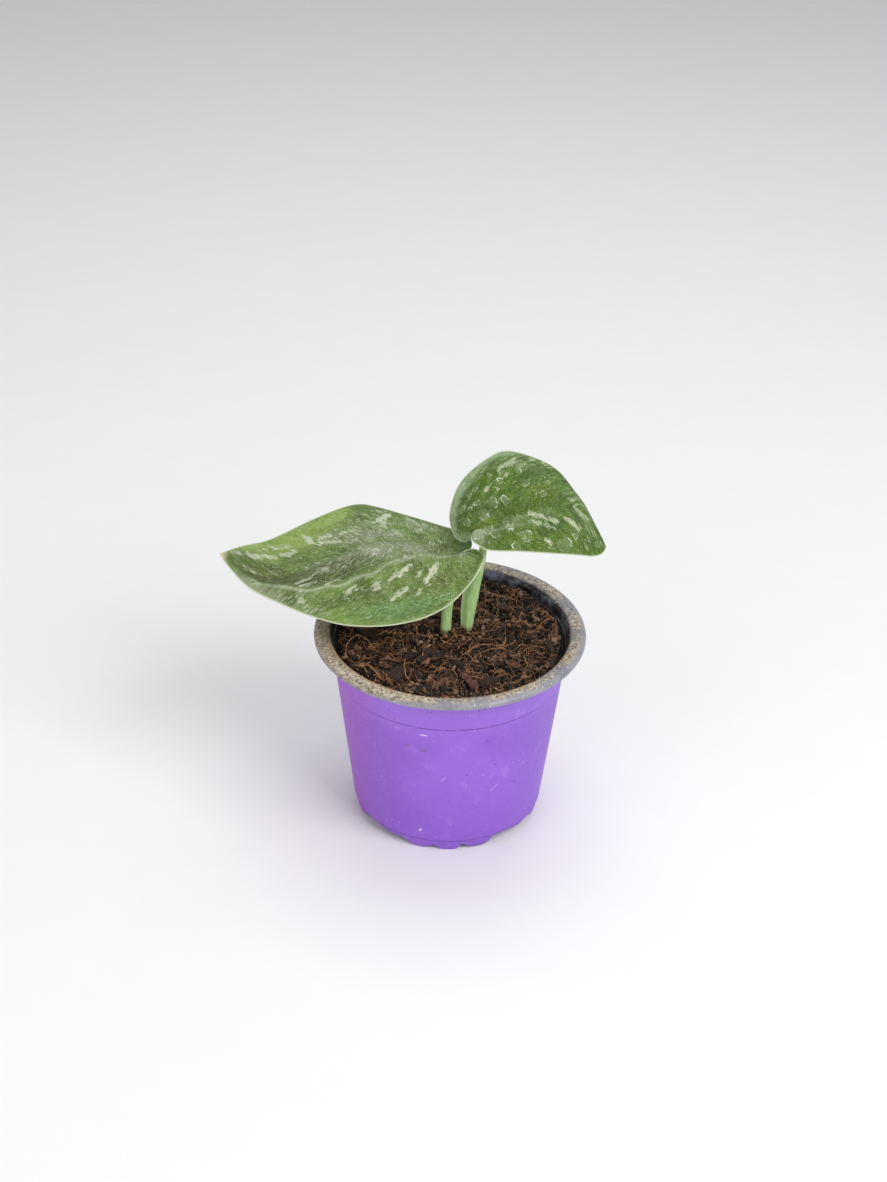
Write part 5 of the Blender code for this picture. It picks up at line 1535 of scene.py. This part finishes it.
def undersideMaterial():
    material, tree, shader = newMaterial("leafUnderside", 0.6, 0.35)
    tones = undersideTones
    place, vein, beside, along = readVector(tree, "leafPlace")
    even = vectorCalc(tree, "MULTIPLY", place, (1.0, 1.0, 0.0))
    broad = noiseAt(tree, even, 0.08, 3.0)
    fine = noiseAt(tree, even, 2.2, 4.0, 0.7)
    veins = calc(tree, "COSINE", times(tree, vein, 2.0 * math.pi / blade["veinSpacing"]))
    onRib = fade(tree, calc(tree, "ABSOLUTE", beside), 2.2, 0.9)
    onRib = times(tree, onRib, fade(tree, along, 0.95, 0.4, 0.2, 0.9))
    colour = mixed(tree, fade(tree, broad, 0.35, 0.65), tones["deep"], tones["middle"])
    colour = coated(
        tree, colour,
        (fade(tree, fine, 0.45, 0.7, 0.0, 0.4), tones["mottle"]),
        (fade(tree, veins, 0.80, 1.0, 0.0, 0.45), tones["vein"]), (onRib, tones["rib"]),
    )
    finishLook(tree, shader, colour, fade(tree, fine, 0.3, 0.7, 0.5, 0.65), fine, 0.00015, 0.6)
    return material


def buildBlade(leaf, topMaterial, underside):
    sheet, along, across, fromMidrib, halfWidth = leafSheet(leaf)
    rows, columns = sheet.shape[0] - 1, sheet.shape[1]
    middle = blade["halfColumns"]
    length = np.linalg.norm(np.diff(sheet[:, middle], axis=0), axis=1).sum()

    def placeOf(where):
        row = where[0] * rows
        column = middle + where[1] * middle
        low, left = int(min(row, rows - 1)), int(min(column, columns - 2))
        down, over = row - low, column - left
        upper = sheet[low, left] * (1 - over) + sheet[low, left + 1] * over
        lower = sheet[low + 1, left] * (1 - over) + sheet[low + 1, left + 1] * over
        return upper * (1 - down) + lower * down

    blotch, weight = blotchField(leaf, sheet, placeOf)
    ring = ringField(leaf, sheet, placeOf)
    margin = (1.0 - np.abs(across)) * halfWidth
    veinRun = along * length - 1.1 * along * np.abs(fromMidrib)
    place = np.stack([veinRun, fromMidrib, along], -1)
    marks = np.stack([blotch, ring, margin], -1)
    foldPlace = eased(along, leaf["nearFold"], 2)
    # a painted highlight along the crest of the near half's fold
    crestShow = eased(along, leaf["crestHighlight"], 1)
    crestHighlight = np.exp(-((-across - foldPlace) * np.maximum(halfWidth, 1.0) / 0.7) ** 2) * crestShow
    # painted shade in the valley just inside the near half's fold
    insideFold = (across < 0.0) * ramp(foldPlace + across, 0.01, 0.14)
    valleyShow = ramp(along, leaf["valleyFrom"], 0.12) * ramp(-along, -leaf["valleyTo"], 0.08)
    valleyShade = insideFold * valleyShow * ramp(-across, 0.04, 0.1)
    tone = np.stack([weight, crestHighlight, valleyShade], -1)
    zones = np.stack([zoneField(leaf[kind], along, across) for kind in ("fresh", "olive", "bluish")], -1)
    paintedGreySheen = zoneField(leaf["paintedGreySheen"], along, across)

    # gentle relief: sunk midrib, side veins and a slow wave
    crossed = unit(np.cross(np.gradient(sheet, axis=1), np.gradient(sheet, axis=0)))
    normals = facingUp(crossed)
    outward = np.sum(crossed * normals) > 0.0
    baseNormal = unit(normals[1:8].mean(axis=(0, 1)))
    tipNormal = unit(normals[-8:-1].mean(axis=(0, 1)))
    fromBase = np.linalg.norm(sheet - sheet[0, 0], axis=2)[..., None]
    nearBase = np.clip(1.0 - fromBase / 4.0, 0.0, 1.0)
    normals = unit(normals * (1.0 - nearBase) + baseNormal * nearBase)
    normals[0], normals[-1] = baseNormal, tipNormal
    settled = np.clip(margin / 4.0, 0.0, 1.0) * np.clip(fromBase[..., 0] / 8.0, 0.0, 1.0)
    groove = np.exp(-(fromMidrib / blade["grooveWidth"]) ** 2) * np.clip(fromBase[..., 0] / 5.0, 0.0, 1.0)
    veins = np.maximum(0.0, np.cos(2.0 * np.pi * veinRun / blade["veinSpacing"])) ** 8
    wave = np.sin(0.35 * veinRun + 0.8) * np.cos(0.22 * fromMidrib + 0.3 * along * 9)
    relief = -blade["grooveDepth"] * groove * (1.0 - along) ** 0.3
    relief = relief + settled * (blade["wave"] * wave - blade["veinDepth"] * veins)
    thinned = np.clip(1.0 - margin / 1.6, 0.0, 1.0) ** 2
    body = blade["thickness"] - (blade["thickness"] - blade["marginThickness"]) * thinned
    ribTaper = np.clip(1.0 - along, 0.0, 1.0) ** 0.8
    ribWidth = blade["ribWidth"] * (0.35 + 0.65 * ribTaper)
    rib = blade["ribHeight"] * ribTaper * np.exp(-(fromMidrib / ribWidth) ** 2) * np.clip(margin, 0.0, 1.0)
    upper = sheet + normals * (0.5 * body + relief)[..., None]
    lower = sheet + normals * (-0.5 * body + 0.6 * relief - rib)[..., None]

    def layered(values):
        flat = values[1:rows].reshape(-1, *values.shape[2:])
        return np.concatenate([values[:1, middle], flat, values[rows:, middle]])

    points = np.concatenate([layered(upper), layered(lower)])
    layer = (rows - 1) * columns + 2

    def index(row, column):
        if row == 0:
            return 0
        if row == rows:
            return layer - 1
        return 1 + (row - 1) * columns + column

    top = []
    for row in range(rows):
        for column in range(columns - 1):
            near = (index(row, column), index(row, column + 1))
            ahead = (index(row + 1, column + 1), index(row + 1, column))
            top.append(tuple(dict.fromkeys(near + ahead)))
    below = [tuple(layer + corner for corner in reversed(face)) for face in top]
    rim = [index(row, 0) for row in range(rows + 1)]
    rim += [index(row, columns - 1) for row in range(rows - 1, 0, -1)]
    faces = top + below
    pairs = zip(rim, rim[1:] + rim[:1])
    faces += [(corner, beside, layer + beside, layer + corner) for corner, beside in pairs]
    if not outward:
        faces = [tuple(reversed(face)) for face in faces]
    mesh = meshFrom(leaf["name"], points, faces)
    painted = {
        "leafPlace": place, "leafMarks": marks, "leafTone": tone, "leafZones": zones, "paintedGreySheen": paintedGreySheen,
    }
    for label, values in painted.items():
        once = layered(values)
        paint(mesh, label, np.concatenate([once, once]))
    mesh.materials.append(topMaterial)
    mesh.materials.append(underside)
    choice = np.zeros(len(mesh.polygons), np.int32)
    choice[len(top):2 * len(top)] = 1
    mesh.polygons.foreach_set("material_index", choice)
    piece = addPiece(leaf["name"], mesh)
    smoothShade(piece, 70.0)
    dress(piece, leaf["node"])
    say(f"{leaf['name']}: {len(mesh.polygons)} faces")


largeTones = {
    "deep": (0.055, 0.098, 0.008), "middle": (0.122, 0.205, 0.034), "fresh": (0.225, 0.330, 0.066),
    "bluish": (0.085, 0.205, 0.056), "olive": (0.062, 0.077, 0.003), "valleyShade": (0.035, 0.041, 0.001),
    "light": (0.250, 0.350, 0.122), "sheen": (0.275, 0.300, 0.205), "scratch": (0.515, 0.555, 0.430),
    "silver": (0.360, 0.415, 0.275), "blotch": (0.520, 0.540, 0.340), "crestHighlight": (0.480, 0.520, 0.400),
    "mineral": (0.720, 0.800, 0.700), "margin": (0.540, 0.590, 0.420), "dryTip": (0.60, 0.51, 0.34),
    "tipTan": 0.9, "gloss": 0.24, "velvet": 0.05,
}
smallTones = {
    **largeTones,
    "deep": (0.038, 0.083, 0.004), "middle": (0.073, 0.148, 0.009), "fresh": (0.132, 0.222, 0.014),
    "bluish": (0.300, 0.410, 0.250), "olive": (0.120, 0.160, 0.008), "light": (0.150, 0.255, 0.050),
    "scratch": (0.370, 0.440, 0.265), "sheen": (0.230, 0.280, 0.150), "tipTan": 0.5,
}
leafBack = undersideMaterial()
buildBlade(largeLeaf, bladeMaterial("leafLargeTop", largeTones), leafBack)
buildBlade(smallLeaf, bladeMaterial("leafSmallTop", smallTones), leafBack)


# Stalks: centre line with half the width and half the depth at each station

stalks = {
    "stalkLarge": {
        "node": "petiole_large", "thinning": 0.0, "reach": 0.9,
        "stations": (
            ((-2.7, 5.9, 66.0), 2.4, 2.3), ((-2.2, 5.8, 76.0), 2.4, 2.3), ((-1.9, 5.7, 86.0), 2.35, 2.2),
            ((-1.4, 6.2, 97.0), 2.3, 2.1), ((0.3, 7.0, 109.3), 2.2, 2.0), ((1.4, 7.6, 116.7), 2.1, 1.9),
            ((2.2, 7.9, 121.6), 1.9, 1.8),
        ),
    },
    "stalkSmall": {
        "node": "petiole_small", "thinning": 0.62, "reach": 1.0,
        "stations": (
            ((5.2, 7.6, 65.8), 2.3, 2.0), ((6.6, 8.0, 76.0), 2.4, 2.1), ((7.3, 8.2, 85.8), 2.55, 2.1),
            ((7.9, 8.4, 95.0), 3.3, 2.1), ((8.7, 8.5, 102.5), 3.6, 2.0), ((10.0, 8.6, 109.5), 3.2, 1.9),
            ((11.8, 8.7, 116.0), 2.5, 1.8), ((13.3, 8.9, 122.5), 1.8, 1.7), ((13.6, 9.2, 128.5), 1.6, 1.5),
            ((12.0, 9.6, 134.3), 1.4, 1.3),
        ),
    },
}
stalkMesh = {"sides": 56, "steps": 150, "wingShare": 0.35, "grooveDepth": 0.14}
# the stalk greens are far lighter than a stalk's own colour: painted light, standing in for light passing
# through the thin stalks
stalkTones = {
    "deep": (0.380, 0.640, 0.215), "light": (0.560, 0.820, 0.375), "foot": (0.50, 0.60, 0.32),
    "fine": (0.55, 0.72, 0.42), "wing": (0.27, 0.44, 0.19), "wingEdge": (0.74, 0.82, 0.63),
    "soilDust": (0.10, 0.055, 0.030),
}


def stalkMaterial():
    material, tree, shader = newMaterial("stalkGreen", 0.42, 0.45)
    tones = stalkTones
    place, _, along, wing = readVector(tree, "stalkPlace")
    drawn = addNode(tree, "ShaderNodeMapping", {"Vector": place, "Scale": (3.2, 0.16, 1.0)}).outputs[0]
    streaks = noiseAt(tree, drawn, 1.0, 4.0, 0.6)
    fine = noiseAt(tree, objectPlace(tree), 1500.0, 3.0)
    # painted light: the greens are raised to stand in for light through the stalk
    colour = mixed(tree, fade(tree, streaks, 0.35, 0.65), tones["deep"], tones["light"])
    colour = coated(
        tree, colour,
        (fade(tree, along, 30.0, 18.0, 0.0, 0.5), tones["foot"]),
        (fade(tree, fine, 0.55, 0.75, 0.0, 0.5), tones["fine"]),
        (times(tree, wing, 0.35), tones["wing"]),
        (times(tree, readNumber(tree, "wingEdge"), 0.9), tones["wingEdge"]),
        (fade(tree, plus(tree, along, times(tree, fine, 3.0)), 24.5, 21.5, 0.0, 0.75), tones["soilDust"]),
    )
    relief = plus(tree, times(tree, streaks, 2.0), fine)
    finishLook(tree, shader, colour, fade(tree, fine, 0.3, 0.7, 0.36, 0.5), relief, 0.00012, 0.5)
    return material


def buildStalk(name, stalk, material):
    stations = stalk["stations"]
    centres = np.array([station[0] for station in stations], float)
    line = curveThrough(centres)
    dense = line(np.linspace(0.0, 1.0, 600))
    known = [int(np.argmin(np.linalg.norm(dense - centre, axis=1))) / 599.0 for centre in centres]
    shares = np.linspace(0.0, 1.0, stalkMesh["steps"] + 1)
    spots = line(shares)
    length = np.linalg.norm(np.diff(dense, axis=0), axis=1).sum()
    ahead = headings(line, shares, 0.01)
    widths = np.interp(shares, known, [station[1] for station in stations])
    depths = np.interp(shares, known, [station[2] for station in stations])
    # the top runs on into the blade
    spots = np.vstack([spots, spots[-1] + ahead[-1] * stalk["reach"]])
    ahead = np.vstack([ahead, ahead[-1:]])
    widths, depths = np.append(widths, widths[-1] * 0.8), np.append(depths, depths[-1] * 0.8)
    shares = np.append(shares, 1.0)
    guide = np.array([1.0, 0.0, 0.0])
    sideways = unit(guide - ahead * (ahead @ guide)[:, None])
    front = np.cross(ahead, sideways)
    sides = stalkMesh["sides"]
    turn = 2.0 * np.pi * np.arange(sides) / sides
    inward = np.maximum(0.0, -np.cos(turn))
    hasWing = ramp(widths / depths, 1.15, 0.5) * bool(stalk["thinning"])
    thin = 1.0 - stalk["thinning"] * inward[None, :]
    step = ramp(inward, stalkMesh["wingShare"], 0.25)
    thin = thin * (1.0 - 0.35 * hasWing[:, None] * step[None, :])
    groove = stalkMesh["grooveDepth"] * np.exp(-((turn - np.pi * 0.5) / 0.35) ** 2)
    points = (spots[:, None] + sideways[:, None] * (widths[:, None] * np.cos(turn))[..., None]
              + front[:, None] * ((depths[:, None] - groove) * thin * np.sin(turn))[..., None])
    rings = len(spots)
    ends = (spots[0] - ahead[0] * 0.2, spots[-1] + ahead[-1] * 0.4)
    faces = ringFaces(0, rings, sides) + endCaps(rings, sides)
    mesh = meshFrom(name, np.vstack([points.reshape(-1, 3), *ends]), faces)
    place = np.zeros((rings, sides, 3))
    place[..., 0] = turn[None, :] * 2.0
    place[..., 1] = (shares * length)[:, None]
    place[..., 2] = hasWing[:, None] * inward[None, :]
    flat = np.vstack([place.reshape(-1, 3), [[0.0, 0.0, 0.0]], [[0.0, length, 0.0]]])
    paint(mesh, "stalkPlace", flat)
    edge = ramp(inward, 0.82, 0.07)[None, :] * ramp(widths / depths, 1.12, 0.12)[:, None]
    edge = edge * bool(stalk["thinning"])
    paint(mesh, "wingEdge", np.append(edge.ravel(), (0.0, 0.0)))
    mesh.materials.append(material)
    piece = addPiece(name, mesh)
    smoothShade(piece, 60.0)
    dress(piece, stalk["node"])


stalkGreen = stalkMaterial()
for stalkName, stalk in stalks.items():
    buildStalk(stalkName, stalk, stalkGreen)
say("stalks are in place")


# Rootstock: the CAD piece stays, with a finish of its own

def rootMaterial():
    material, tree, shader = newMaterial("rootSkin", 0.7, 0.3)
    place = objectPlace(tree)
    fine = noiseAt(tree, place, 900.0, 5.0, 0.7)
    patches = noiseAt(tree, place, 120.0, 3.0)
    colour = mixed(tree, fade(tree, patches, 0.35, 0.65), (0.36, 0.25, 0.13), (0.56, 0.43, 0.25))
    colour = mixed(tree, fade(tree, fine, 0.5, 0.72, 0.0, 0.7), colour, stalkTones["soilDust"])
    finishLook(tree, shader, colour, fade(tree, fine, 0.3, 0.7, 0.6, 0.8), fine, 0.0003, 0.7)
    return material


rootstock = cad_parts["rootstock"]
rootstock.data.materials.clear()
rootstock.data.materials.append(rootMaterial())

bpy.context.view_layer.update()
say("finished")
